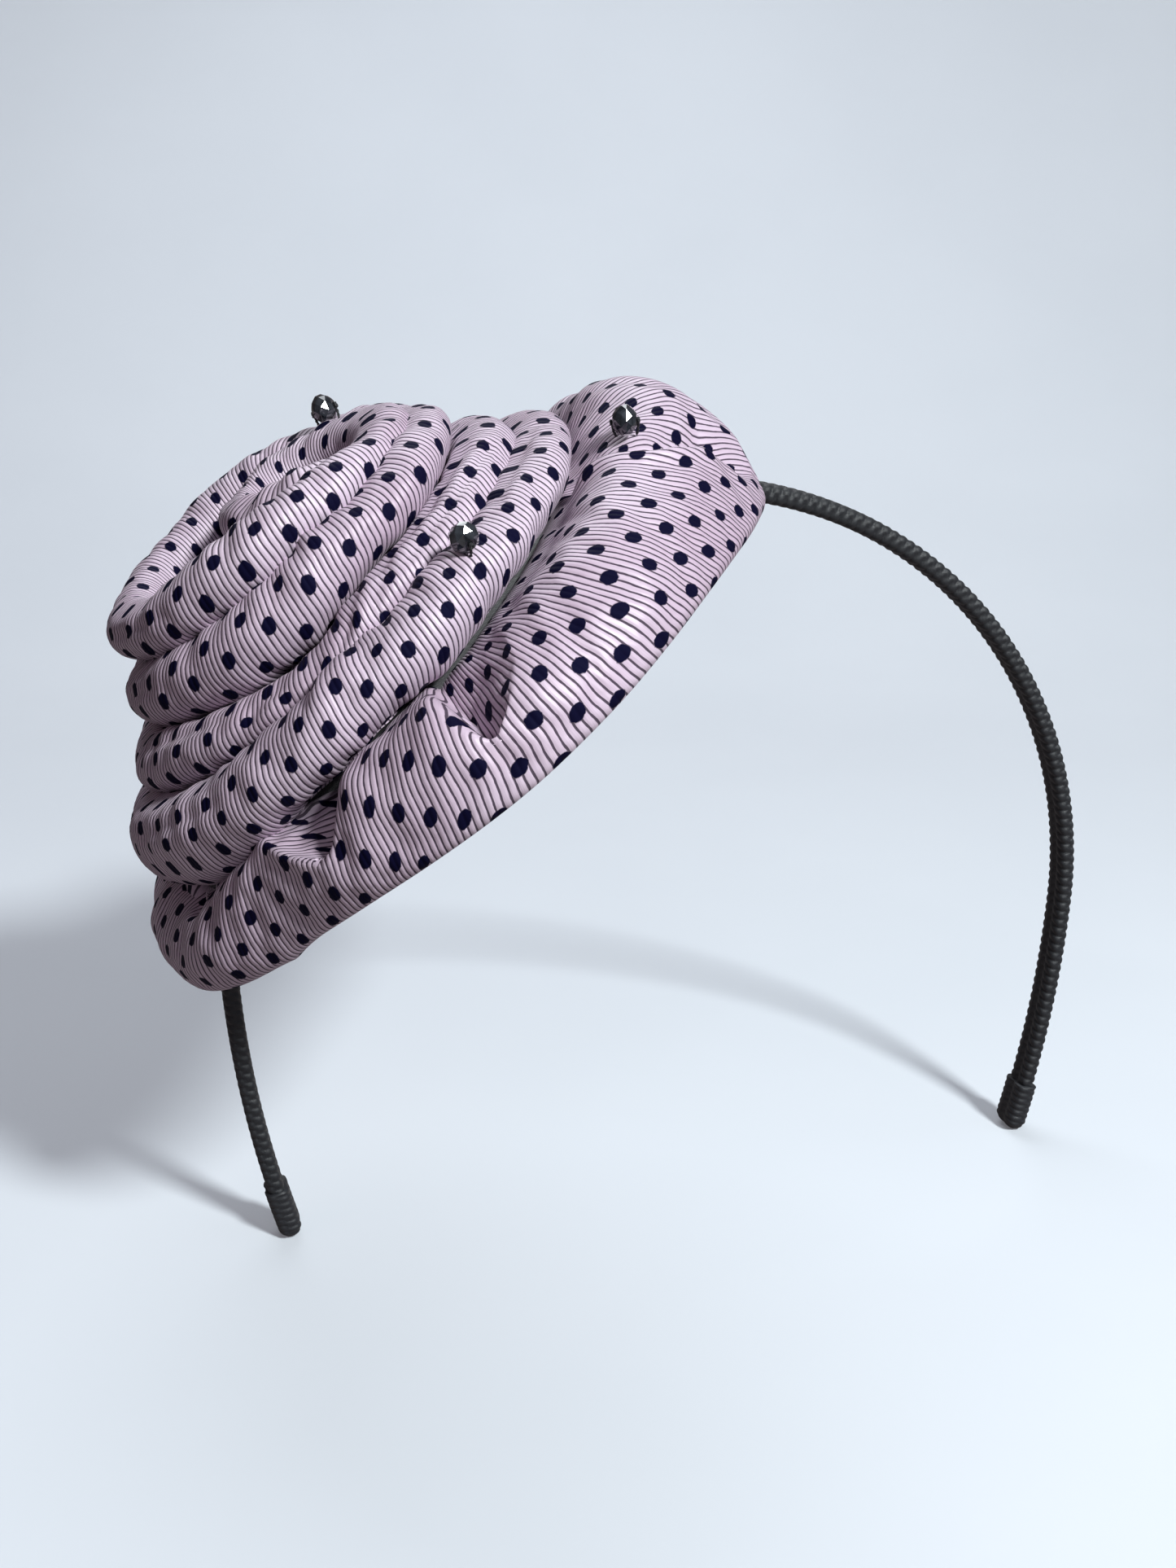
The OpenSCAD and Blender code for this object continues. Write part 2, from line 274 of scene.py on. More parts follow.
def thread(points, radius):
    """Two-ply sewing thread along a smooth path, in rosette-frame mm."""
    sample, lay = 0.12, 1.1        # path step, and length of one turn of the plies
    points = np.asarray(points, float)
    length = running_length(points)
    t = np.linspace(0, length[-1], max(int(length[-1] / sample), 8))
    path = np.stack([np.interp(t, length, column) for column in points.T], -1)
    for _ in range(3):
        path[1:-1] = (path[:-2] + 2 * path[1:-1] + path[2:]) / 4
    tangent = unit(np.gradient(path, axis=0))
    side = unit(np.cross(tangent, unit(np.array([0.3, 0.5, 0.8]))))
    other = np.cross(tangent, side)
    plies = []
    for ply in (0, 1):
        angle = (2 * np.pi * t / lay + ply * np.pi)[:, None]
        centre = path + 0.45 * radius * (np.cos(angle) * side + np.sin(angle) * other)
        plies.append(tube("ply", world(centre), 0.6 * radius * MM))
    return join(plies, "thread")


# ---------------------------------------------------------------- shader graphs
class Wire:
    """A node's output; arithmetic on it adds Math nodes."""
    def __init__(self, graph, socket):
        self.graph, self.socket = graph, socket

    def math(self, operation, *others):
        inputs = dict(enumerate((self,) + (others or (0.0,))))
        return self.graph.node("Math", inputs, operation=operation)

    def __add__(self, other):
        return self.math("ADD", other)

    def __sub__(self, other):
        return self.math("SUBTRACT", other)

    def __mul__(self, other):
        return self.math("MULTIPLY", other)

    def __truediv__(self, other):
        return self.math("DIVIDE", other)

    def times_plus(self, factor, addend):
        return self.math("MULTIPLY_ADD", factor, addend)


class Graph:
    """Builds nodes that feed one shader node."""
    def __init__(self, tree, shader):
        self.tree, self.shader = tree, shader

    def plug(self, target, value):
        if isinstance(value, Wire):
            self.tree.links.new(value.socket, target)
        else:
            target.default_value = value

    def set(self, values):
        """Link or set the shader's own inputs."""
        for name, value in values.items():
            self.plug(self.shader.inputs[name], value)

    def node(self, kind, inputs, output=0, **settings):
        node = self.tree.nodes.new("ShaderNode" + kind)
        for name, value in settings.items():
            setattr(node, name, value)
        for key, value in inputs.items():
            self.plug(node.inputs[key], value)
        return Wire(self, node.outputs[output])

    def ramp(self, value, low, high, start=0.0, end=1.0):
        """Smooth step from start to end as the value goes from low to high."""
        return self.node("MapRange", {"Value": value, "From Min": low, "From Max": high,
                                      "To Min": start, "To Max": end},
                         interpolation_type="SMOOTHSTEP")

    def mix(self, factor, first, second):
        return self.node("Mix", {0: factor, 6: first, 7: second}, 2, data_type="RGBA")

    def noise(self, vector, scale, detail, rough=0.5, distortion=0.0):
        return self.node("TexNoise", {"Vector": vector, "Scale": scale, "Detail": detail,
                                      "Roughness": rough, "Distortion": distortion})

    def plane_noise(self, u, v, u_scale, v_scale, detail=1.0):
        vector = self.node("CombineXYZ", {0: u * u_scale, 1: v * v_scale, 2: 0.0})
        return self.noise(vector, scale=1.0, detail=detail)

    def split(self, vector):
        first = self.node("SeparateXYZ", {0: vector})
        return [Wire(self, socket) for socket in first.socket.node.outputs]

    def uv(self):
        return self.split(self.node("UVMap", {}, uv_map="UVMap"))[:2]

    def coordinates(self, kind="Object"):
        return self.node("TexCoord", {}, kind)

    def bump(self, height, strength, depth):
        return self.node("Bump", {"Strength": strength, "Distance": depth, "Height": height})


def new_material(name):
    material = bpy.data.materials.new(name)
    material.use_nodes = True
    tree = material.node_tree
    tree.nodes.clear()
    output = tree.nodes.new("ShaderNodeOutputMaterial")
    shader = tree.nodes.new("ShaderNodeBsdfPrincipled")
    tree.links.new(shader.outputs[0], output.inputs[0])
    return material, Graph(tree, shader)


# ---------------------------------------------------------------- materials
def silk_material(name):
    """Pink-lilac ribbed satin with dark pin lines and half-drop dots."""
    full_turn = 6.2832
    lilac, pale_lilac = (0.56, 0.425, 0.535, 1), (0.70, 0.575, 0.69, 1)
    shaded_thread = (0.40, 0.30, 0.40, 1)
    line_ink, dot_ink = (0.020, 0.010, 0.026, 1), (0.004, 0.0035, 0.019, 1)
    material, graph = new_material(name)
    across, along = graph.uv()     # mm across the lines and along them

    def noise(across_scale, along_scale, detail=1.0):
        return graph.plane_noise(across, along, across_scale, along_scale, detail)

    # the cloth's lines wander, slowly by up to 0.55 mm and quickly by up to 0.08 mm
    place = across + (noise(0.05, 0.14) - 0.5) * 1.1
    place = place + (noise(0.6, 0.35) - 0.5) * 0.16

    def from_rib():
        """Pitches from the middle of the nearest rib, -0.5 to 0.5."""
        return (place / LINE_PITCH).math("FRACT") - 0.5

    uneven = (noise(1.2, 1.1) - 0.5) * 0.09
    line = graph.ramp(from_rib().math("ABSOLUTE") + uneven, low=0.325, high=0.40)

    # dots, with ragged edges
    row = (place / DOT_ROW).math("ROUND")
    from_row = place - row * DOT_ROW
    dropped = along - row.math("FLOORED_MODULO", 2.0) * DOT_ROW
    from_dot = dropped - (dropped / DOT_REPEAT).math("ROUND") * DOT_REPEAT
    ragged = (noise(1.6, 1.6, detail=2.0) - 0.5) * 0.42
    squash = 0.86                  # on the squared distance along the lines
    radius = (from_row * from_row + from_dot * from_dot * squash).math("SQRT") + ragged
    dot = graph.ramp(radius, low=1.10, high=0.94)
    ink = (line * 0.90).math("MAXIMUM", dot)

    # slow shade drift and thread-to-thread change
    drift = noise(0.03, 0.05, detail=2.0)
    fibre = noise(9.0, 0.25)
    colour = graph.mix(graph.ramp(drift, low=0.3, high=0.7), lilac, pale_lilac)
    colour = graph.mix(graph.ramp(fibre, low=0.35, high=0.7) * 0.28, colour, shaded_thread)
    colour = graph.mix(ink, colour, graph.mix(dot, line_ink, dot_ink))

    # a round rib between each two lines, fine cross threads and raised dots
    rib = (from_rib() * full_turn).math("COSINE")
    thread_pitch, rib_thread_pitch = 0.21, 0.29
    fine = (along * (full_turn / thread_pitch)).math("SINE")
    fine = fine * (place * (full_turn / rib_thread_pitch)).math("SINE")
    height = rib * 0.5 + fine * 0.10 + dot * 0.55 - line * 0.35
    graph.set({
        "Base Color": colour,
        "Normal": graph.bump(height, strength=0.5, depth=0.00013),
        "Roughness": ink * 0.20 + fibre.times_plus(0.18, 0.33),
        "Specular IOR Level": ink.times_plus(-0.54, 0.60),
        "Specular Tint": graph.mix(dot, (1, 1, 1, 1), (0.5, 0.55, 1.0, 1)),
        "Sheen Weight": ink.times_plus(-0.12, 0.12),
        "Sheen Roughness": 0.35,
        "Sheen Tint": (1.0, 0.9, 1.0, 1),
    })
    return material


def braid_material(name, colour):
    """Matt black cord, mottled by fine noise."""
    worn = (0.022, 0.024, 0.030, 1)
    material, graph = new_material(name)
    fibre = graph.plane_noise(*graph.uv(), 7.0, 7.0, detail=3.0)
    graph.set({
        "Base Color": graph.mix(graph.ramp(fibre, low=0.35, high=0.75), colour, worn),
        "Roughness": fibre.times_plus(0.25, 0.38),
        "Normal": graph.bump(fibre, strength=0.5, depth=0.00012),
        "Sheen Weight": 0.10,
        "Sheen Roughness": 0.4,
    })
    return material


def felt_material(name, dark, light, scale=900.0):
    """Felted fibres; scale is the fibre noise's, with a coarser one under it."""
    material, graph = new_material(name)
    place = graph.coordinates()
    fibre = graph.noise(place, scale, detail=5.0, rough=0.65, distortion=1.5)
    cloud = graph.noise(place, scale * 0.12, detail=3.0)
    shade = graph.ramp(fibre * 0.7 + cloud * 0.3, low=0.3, high=0.7)
    graph.set({
        "Base Color": graph.mix(shade, dark, light),
        "Roughness": 0.95,
        "Normal": graph.bump(fibre, strength=0.6, depth=0.0003),
        "Sheen Weight": 0.4,
    })
    return material


def weave_material(name, dark, light, pitch, rough, sheen, specular=0.3):
    """Plain weave; pitch in mm."""
    material, graph = new_material(name)
    u, v = graph.uv()
    weave = (u * (math.pi / pitch)).math("SINE") * (v * (math.pi / pitch)).math("SINE")
    mottle = graph.plane_noise(u, v, 0.8, 0.8, detail=4.0)
    shade = graph.ramp(weave * 0.35 + mottle, low=0.2, high=0.9)
    graph.set({
        "Base Color": graph.mix(shade, dark, light),
        "Roughness": mottle.times_plus(0.2, rough - 0.1),
        "Normal": graph.bump(weave, strength=0.4, depth=0.0001),
        "Sheen Weight": sheen,
        "Specular IOR Level": specular,
    })
    return material


def metal_material(name, dark, light, rough=0.3):
    material, graph = new_material(name)
    mottle = graph.noise(graph.coordinates(), scale=500.0, detail=4.0)
    graph.set({
        "Base Color": graph.mix(graph.ramp(mottle, low=0.35, high=0.65), dark, light),
        "Metallic": 1.0,
        "Roughness": mottle.times_plus(0.25, rough - 0.1),
        "Normal": graph.bump(mottle, strength=0.15, depth=0.0001),
    })
    return material


def glass_material(name):
    """Smoky glass; whatever lies beyond x = 33 mm is clear."""
    smoke, grey, clear_glass = ((0.012, 0.014, 0.018, 1), (0.060, 0.066, 0.080, 1),
                                (0.86, 0.84, 0.88, 1))
    material, graph = new_material(name)
    place = graph.coordinates()
    mottle = graph.noise(place, scale=700.0, detail=3.0)
    clear = graph.ramp(graph.split(place)[0], low=0.032, high=0.034)
    smoky = graph.mix(graph.ramp(mottle, low=0.3, high=0.7), smoke, grey)
    graph.set({
        "Base Color": graph.mix(clear, smoky, clear_glass),
        "Roughness": mottle.times_plus(0.04, 0.01),
        "Transmission Weight": clear.times_plus(0.40, 0.35),
        "IOR": 1.62,
        "Metallic": 0.10,
        "Coat Weight": 1.0,
        "Normal": graph.bump(mottle, strength=0.05, depth=0.0001),
    })
    return material


def floor_material(name):
    """Pale to the camera; darker to other rays, so that it doesn't light the cloth."""
    material, graph = new_material(name)
    cloud = graph.noise(graph.coordinates(), scale=6.0, detail=4.0)
    pale = graph.mix(graph.ramp(cloud, low=0.3, high=0.7),
                     (0.61, 0.65, 0.70, 1), (0.64, 0.68, 0.73, 1))
    seen = graph.node("LightPath", {}, "Is Camera Ray")
    graph.set({
        "Roughness": 0.9,
        "Base Color": graph.mix(seen, (0.20, 0.17, 0.17, 1), pale),
        "Emission Strength": seen * 0.12,
        "Emission Color": (0.92, 0.93, 1.0, 1),
    })
    return material


MATERIALS = {
    "silk": silk_material("silk_repp"),
    "braid": braid_material("black_braid", (0.010, 0.011, 0.013, 1)),
    "cap": braid_material("braid_cap", (0.014, 0.015, 0.018, 1)),
    "felt": felt_material("felt_lining", (0.010, 0.010, 0.012, 1), (0.030, 0.030, 0.035, 1)),
    "binding": weave_material("bias_binding", (0.010, 0.010, 0.012, 1),
                              (0.035, 0.035, 0.042, 1), pitch=0.35, rough=0.7, sheen=0.2),
    "tipping": weave_material("tipping_weave", (0.018, 0.020, 0.050, 1),
                              (0.050, 0.055, 0.110, 1), pitch=0.25, rough=0.5, sheen=0.3,
                              specular=0.5),
    "buckram": felt_material("buckram_stiff", (0.02, 0.02, 0.022, 1), (0.06, 0.06, 0.065, 1),
                             scale=1400.0),
    "steel": metal_material("spring_steel", (0.30, 0.31, 0.33, 1), (0.48, 0.49, 0.52, 1)),
    "wire": metal_material("millinery_wire", (0.35, 0.35, 0.37, 1), (0.55, 0.55, 0.58, 1),
                           rough=0.4),
    "brass": metal_material("ferrule_brass", (0.45, 0.33, 0.16, 1), (0.66, 0.50, 0.26, 1),
                            rough=0.35),
    "black_thread": braid_material("black_thread", (0.012, 0.012, 0.014, 1)),
    "pink_thread": weave_material("pink_thread", (0.45, 0.34, 0.42, 1), (0.72, 0.62, 0.70, 1),
                                  pitch=0.2, rough=0.6, sheen=0.3),
    "smoky_glass": glass_material("smoky_glass"),
}


def paint(ob, key):
    ob.data.materials.clear()
    ob.data.materials.append(MATERIALS[key])


def place_piece(ob, key, replaced, node="crown"):
    paint(ob, key)
    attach(ob, node)
    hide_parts(replaced)


# ---------------------------------------------------------------- cloth simulation
CLOTH_FRAMES = 16
CLOTH_SLACK = 0.022                # share by which the cloth may grow
CLOTH_LIMIT = 0.0007               # most that a point may move, metres


def cloth_shift(points, pin, wrap_u, wrap_v, pressure):
    """How far each point of a coarse cloth grid moves, in metres, as the cloth settles under
    inside pressure, held where pin is 1; softly limited."""
    ob = grid_mesh("cloth_tmp", points, wrap_u=wrap_u, wrap_v=wrap_v)
    face_outward(ob)
    group = ob.vertex_groups.new(name="pin")
    tenths = np.round(pin.reshape(-1) * 10)
    for level in np.unique(tenths):
        if level > 0:
            group.add(np.where(tenths == level)[0].tolist(), float(level) / 10.0, "REPLACE")
    modifier = ob.modifiers.new("cloth", "CLOTH")
    cloth = modifier.settings
    cloth.quality = 6
    cloth.mass = 0.15
    cloth.tension_stiffness = cloth.compression_stiffness = 12.0
    cloth.shear_stiffness = 4.0
    cloth.bending_stiffness = 2.0
    cloth.tension_damping = cloth.compression_damping = cloth.shear_damping = 8.0
    cloth.air_damping = 4.0
    cloth.vertex_group_mass = "pin"
    cloth.pin_stiffness = 2.0
    cloth.shrink_min = -CLOTH_SLACK
    cloth.use_pressure = True
    cloth.uniform_pressure_force = pressure
    cloth.effector_weights.gravity = 0.0
    modifier.collision_settings.use_collision = False
    modifier.collision_settings.use_self_collision = False
    modifier.point_cache.frame_start = 1
    modifier.point_cache.frame_end = CLOTH_FRAMES
    scene = bpy.context.scene
    for number in range(1, CLOTH_FRAMES + 1):
        scene.frame_set(number)
    evaluated = ob.evaluated_get(bpy.context.evaluated_depsgraph_get())
    settled = evaluated.to_mesh()
    flat = np.zeros(len(settled.vertices) * 3)
    settled.vertices.foreach_get("co", flat)
    shift = flat.reshape(points.shape) - points
    evaluated.to_mesh_clear()
    mesh = ob.data
    bpy.data.objects.remove(ob)
    bpy.data.meshes.remove(mesh)
    scene.frame_set(1)

    # silk this firm keeps its soft swellings and only a trace of the fine crumples
    soft = shift
    for axis, spread, wrap in ((0, 2.6, wrap_u), (1, 1.0, wrap_v)):
        steps = np.arange(-6, 7)
        weights = np.exp(-0.5 * (steps / spread) ** 2)
        size = soft.shape[axis]
        blurred = 0
        for step, weight in zip(steps, weights / weights.sum()):
            index = np.arange(size) + step
            index = np.mod(index, size) if wrap else np.clip(index, 0, size - 1)
            blurred = blurred + weight * np.take(soft, index, axis=axis)
        soft = blurred
    shift = 0.30 * shift + 0.70 * soft
    distance = np.linalg.norm(shift, axis=-1, keepdims=True)
    limited = np.tanh(distance / CLOTH_LIMIT) * CLOTH_LIMIT
    return shift * limited / np.maximum(distance, 1e-9)


# ---------------------------------------------------------------- coiled tie
# Tables against the turn, the angle wound from the inside out, in degrees; values in mm.
COIL_START, COIL_END = -320.0, 1400.0
# height of the section's centre
COIL_HEIGHT = [
    (-320, 97), (-270, 99.2), (-180, 99.8), (-90, 99.2), (-45, 97.6), (0, 96), (20, 96.5),
    (35, 97), (51, 98.2), (66, 99), (80, 100), (94, 100), (110, 100), (132, 99.8), (154, 99.4),
    (180, 99.5), (225, 99.8), (270, 99.6), (295, 97.8), (318, 96), (345, 92.8), (362, 92.4),
    (380, 92.7), (395, 92.8), (411, 92.6), (427, 92.5), (440, 92.8), (453, 91.8), (470, 91.5),
    (490, 91.6), (505, 92.2), (540, 91), (585, 90.3), (630, 89.2), (660, 88), (690, 85.2),
    (720, 84.3), (740, 84.8), (759, 84.9), (775, 85.8), (800, 86.3), (812, 85), (819, 84.5),
    (828, 84.8), (840, 85.1), (860, 84.9), (875, 84.7), (900, 83.5), (945, 82.5), (990, 82.1),
    (1035, 80.6), (1050, 80.2), (1080, 80.2), (1102, 80.6), (1127, 80.7), (1140, 81),
    (1152, 80.4), (1162, 81.1), (1172, 80.9), (1183, 79.6), (1195, 79.6), (1213, 77),
    (1231, 75.5), (1260, 73.4), (1305, 72.5), (1350, 72), (1395, 71), (1440, 70)]
# half the section's height
COIL_HALF_HEIGHT = [
    (-320, 3), (-180, 3.8), (-90, 4.0), (0, 3.9), (20, 3.8), (50, 4.1), (66, 4.1), (80, 4.3),
    (94, 4.8), (110, 4.9), (132, 4.6), (154, 4.5), (180, 4.6), (270, 4.5), (330, 4.2),
    (380, 4.1), (395, 4.1), (411, 4.5), (427, 4.7), (440, 5.4), (453, 6.0), (470, 5.7),
    (490, 5.7), (505, 5.3), (540, 5.1), (630, 4.7), (700, 4.7), (740, 5.1), (759, 4.8),
    (775, 3.9), (787, 3.8), (800, 3.5), (807, 3.2), (817, 2.6), (828, 3.0), (840, 3.3),
    (860, 4.3), (875, 4.8), (900, 4.9), (990, 4.6), (1080, 4.4), (1102, 4.4), (1127, 4.4),
    (1140, 5.1), (1172, 5.3), (1195, 5.5), (1213, 6.5), (1231, 7.6), (1260, 8.0), (1305, 6.5),
    (1350, 5), (1440, 4)]
# outer radius of the turn
COIL_OUTER = [
    (-320, 7.5), (-270, 9), (-180, 12.5), (-120, 15.5), (-60, 21), (-15, 26.3), (0, 26.8),
    (20, 26.6), (65, 25.5), (120, 25.6), (150, 26.6), (180, 28.8), (225, 29.2), (270, 28.4),
    (330, 30.5), (355, 32.2), (378, 31.8), (425, 30), (500, 30.4), (540, 32.2), (585, 32.2),
    (630, 32), (690, 37), (718, 39.2), (738, 38.6), (785, 35.3), (860, 35.5), (870, 36.6),
    (900, 38.6), (945, 38.8), (990, 39.3), (1050, 45), (1078, 46.8), (1100, 46), (1145, 43.6),
    (1230, 45.6), (1260, 47.4), (1305, 47.4), (1350, 47), (1440, 46.5)]
# half the section's width
COIL_HALF_WIDTH = [
    (-320, 3.2), (-180, 3.8), (0, 4.6), (200, 4.6), (380, 5.2), (453, 5.8), (540, 5.4),
    (720, 6.0), (740, 5.6), (800, 4.4), (817, 3.6), (840, 4.2), (880, 5.0), (1080, 6.4),
    (1102, 6.0), (1183, 5.8), (1231, 6.8), (1440, 5)]
# centre of the turn, along a; along b it stays at COIL_B
COIL_A = [(-320, 6.5), (-270, 6), (-180, 4.4), (-90, 1), (0, -4), (180, -4.2), (380, -4.9),
          (540, -5), (740, -5.6), (900, -5.8), (1102, -6.1), (1260, -6.1), (1440, -3)]
COIL_B = 2

# slanting dents: turn, width in degrees, amount in mm
COIL_DENTS = [(790, 5, -0.5), (803, 4, -0.7), (833, 5, -0.6), (1108, 6, -0.5), (1165, 6, -0.6),
              (1178, 5, 0.4), (452, 7, -0.4), (438, 5, 0.3), (100, 7, -0.35), (60, 6, -0.3)]
# creases along the tie: first and last turn, angle on the section, amount in mm, width
COIL_CREASES = [
    (730, 800, 1.35, -0.55, 0.16), (735, 790, 0.55, -0.45, 0.14), (1085, 1130, 1.2, -0.5, 0.16),
    (370, 420, 1.3, -0.4, 0.16), (840, 900, 1.1, -0.5, 0.18), (1200, 1255, 0.7, -0.6, 0.2),
    (20, 60, 1.5, -0.4, 0.18), (500, 545, 0.5, -0.5, 0.2), (130, 185, 0.5, -0.4, 0.2)]
COIL_PINCH = 817                   # turn where the tie is narrowest
COIL_HELD = (60, 452, COIL_PINCH, 1165, 1080, 720)   # turns held in the simulation
TAIL_END = 610                     # turn where the tail meets the neck


def coil_wrinkles(turn, angle, along, across):
    """Outward shift of the coil's surface, in mm."""
    turn = turn[:, None]
    steepness = np.abs(np.sin(angle))
    shift = 0.30 * ripple(along, across, 3, 16, 0.10, 0.45)
    shift = shift + 0.16 * ripple(along, across * 0.35, 5, 16, 0.7, 1.6) * (
        0.35 + 0.65 * steepness)
    shift = shift - 0.9 * bell((turn - COIL_PINCH) / 9.0) * bell((angle - 0.9) / 0.7)
    for at, width, amount in COIL_DENTS:
        slanted = turn - at + 14 * (angle - 1.2) / 1.5
        shift = shift + amount * bell(slanted / width) * bell((angle - 0.9) / 1.1)
    for first, last, at, amount, width in COIL_CREASES:
        window = np.sin(np.pi * np.clip((turn - first) / (last - first), 0, 1))
        offset = angle - at - 0.25 * window
        groove = bell(offset / width) - 0.5 * bell((offset - 2.2 * width) / (1.3 * width))
        shift = shift + amount * window * groove
    return shift


def coil_surface(turn_count, section_count):
    """Turns, section angles, rosette-frame points and fabric coordinates of the coil."""
    turn = np.linspace(COIL_START, COIL_END, turn_count)
    angle = np.linspace(-0.72 * np.pi, 1.28 * np.pi, section_count + 1)
    height = table(turn, COIL_HEIGHT, 5)
    half_height = table(turn, COIL_HALF_HEIGHT, 5)
    half_width = table(turn, COIL_HALF_WIDTH, 6)
    centre_radius = table(turn, COIL_OUTER, 12) - half_width
    centre_a = table(turn, COIL_A, 20)
    azimuth = np.radians(turn)

    # both ends close in a round over 16 degrees
    ends = np.clip((turn - COIL_START) / 16, 0, 1) * np.clip((COIL_END - turn) / 16, 0, 1)
    ends = np.sqrt(np.clip(1 - (1 - ends) ** 2, 0, 1))
    closing = np.maximum(ends, 0.02)
    wide, tall = (half_width * closing)[:, None], (half_height * closing)[:, None]

    # slightly squared section, whose lower outer side draws back under the fold
    cosine, sine = np.cos(angle), np.sin(angle)
    squareness = 0.86
    radius = (centre_radius[:, None] + wide * signed_power(cosine, squareness)
              - 0.34 * wide * np.clip(-sine, 0, 1) ** 1.4 * (cosine > 0))
    section_height = height[:, None] + tall * signed_power(sine, squareness)

    # fabric coordinates: along the tie and across it; the lines lean a little
    along = np.cumsum(np.gradient(azimuth) * (centre_radius + 0.5 * half_width))[:, None]
    girth = np.pi * (half_width + half_height) * 0.97
    across = (angle[None, :] - np.pi * 0.5) / (2 * np.pi) * girth[:, None]
    line_lean = 0.20
    uv = np.stack([along + line_lean * across, across], -1)

    points = np.stack([centre_a[:, None] + radius * np.cos(azimuth)[:, None],
                       COIL_B + radius * np.sin(azimuth)[:, None], section_height], -1)
    centre = np.stack([centre_a + centre_radius * np.cos(azimuth),
                       COIL_B + centre_radius * np.sin(azimuth), height], -1)[:, None]
    normal = grid_normals(points)
    normal = normal * np.sign(np.sum(normal * (points - centre), -1, keepdims=True))
    shift = coil_wrinkles(turn, angle[None, :], np.broadcast_to(along, radius.shape), across)
    points = points + normal * (shift * ends[:, None])[..., None]
    points[:, -1] = points[:, 0]
    return turn, angle, points, uv


def puff_coil(points, turn, angle):
    """Let the folded tie puff up on its upper outer side, between the turns that are held."""
    turn_count, section_count = points.shape[:2]
    rows = np.linspace(0, turn_count - 1, 820).round().astype(int)
    columns = np.arange(0, section_count, 2)
    from_free = np.mod(np.mod(angle[:-1][columns], 2 * np.pi) - 0.9 + np.pi, 2 * np.pi) - np.pi
    pin = np.tile(1 - bell(from_free / 1.25, 4), (len(rows), 1))
    pin[:6] = 1
    pin[-6:] = 1
    for held in COIL_HELD:
        pin = np.maximum(pin, 0.6 * bell((turn[rows][:, None] - held) / 5.0))
    shift = cloth_shift(points[rows][:, columns], pin, False, True, pressure=1.2)
    return points + cubic(cubic(shift, turn_count, 0, False), section_count, 1, True)


def make_heart():
    """The tie's folded start, a low disc in the middle of the coil."""
    centre_a, size, underside = -6.0, 20.0, 84.0
    upper, lower = 36, 14          # rings out over the top, and back in underneath
    r = np.r_[np.linspace(0.03, 1.0, upper), np.linspace(0.99, 0.03, lower)][:, None]
    angle = np.linspace(0, 2 * np.pi, 121)[None, :]
    a = centre_a + size * r * np.cos(angle)
    b = COIL_B + size * r * np.sin(angle)
    swirl = 1.5 * np.cos(angle - 8.0 * r) * np.minimum(1.0, 3.0 * r) * (1 - 0.35 * r)
    folds = 0.45 * np.sin(0.75 * a + 1.3 * np.sin(0.22 * b)) * (1 - r ** 4)
    top = 92.0 - 2.2 * r ** 2 + swirl + folds
    height = np.where((np.arange(upper + lower) < upper)[:, None], top, underside)
    uv = np.stack([b + 0.12 * a, a + 40.0], -1)
    points = world(np.stack([a, b, height], -1))[:, :-1]
    return grid_mesh("heart", points, uv, wrap_v=True, caps=True)


def make_coil():
    counts = ((2200, 48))
    turn, angle, points, uv = coil_surface(*counts)
    points = world(points)[:, :-1]
    points = puff_coil(points, turn, angle)
    cut = np.abs(turn - TAIL_END).argmin()
    tail = grid_mesh("tie_tail", points[: cut + 1], uv[: cut + 1], wrap_v=True, caps=True)
    neck = grid_mesh("tie_neck", points[cut:], uv[cut:], wrap_v=True, caps=True)
    return neck, join([tail, make_heart()], "tie_tail")


# ---------------------------------------------------------------- skirt
# The tie's blade, opened into a ring. Its profile starts tucked in under the last roll of the
# coil, rises to a valley, runs out over the top, rolls over the rim and returns underneath.
N_TUCK, N_TOP, N_RIM, N_UNDER = 16, 84, 22, 30    # steps along each part of the profile
RIM_ROLL = 2.4                     # radius of the rolled rim
UNDER_TURN = np.array([49.7, 68.6])    # radius and height near the binding
UNDER_END = np.array([47.5, 71.2])     # radius and height of the inner edge
PATTERN_RADIUS = 49                # where the cloth's length round the skirt is taken

# tables against azimuth, in mm: height of the valley
VALLEY = [(-180, 70), (-150, 73), (-120, 75), (-90, 75.5), (-60, 76), (-30, 76.3), (0, 76),
          (25, 76.3), (50, 76), (65, 75.7), (80, 75.1), (89, 75.8), (102, 75.3), (114, 73.7),
          (128, 73.4), (145, 70.5), (156, 68.5), (167, 67.5), (180, 69)]
# radius of the rim
RIM = [(-180, 63), (-172, 62.4), (-165, 61.4), (-150, 60), (-120, 60), (-90, 60.5), (-60, 59),
       (-30, 61.5), (-12, 61), (0, 60), (20, 57.5), (36, 56.6), (48, 56.8), (60, 57.8),
       (72, 59), (86, 59.6), (94, 59.2), (105, 58), (117, 56.6), (133, 55.6), (142, 57.2),
       (150, 59.2), (160, 62), (172, 62.8), (180, 63)]
# extra height between the valley and the rim
CREST = [(-180, 0.0), (-120, 2.5), (-95, 0.5), (-75, 3.2), (-45, 3.6), (-30, 1.0), (-15, 4.4),
         (-3, 4.6), (10, 2.2), (22, 2.8), (45, 2.0), (70, 1.2), (82, 0.4), (95, 2.0),
         (108, 1.8), (120, 0.2), (132, 1.6), (150, 1.0), (180, 0.0)]
# lowest height of the rim; around 180 it hangs clear of the head
RIM_LOWEST = [(-180, 60), (-165, 60.5), (-150, 60), (-130, 50), (118, 50), (126, 56.5),
              (133, 60.2), (142, 60.2), (150, 59.2), (165, 58.8), (180, 60)]
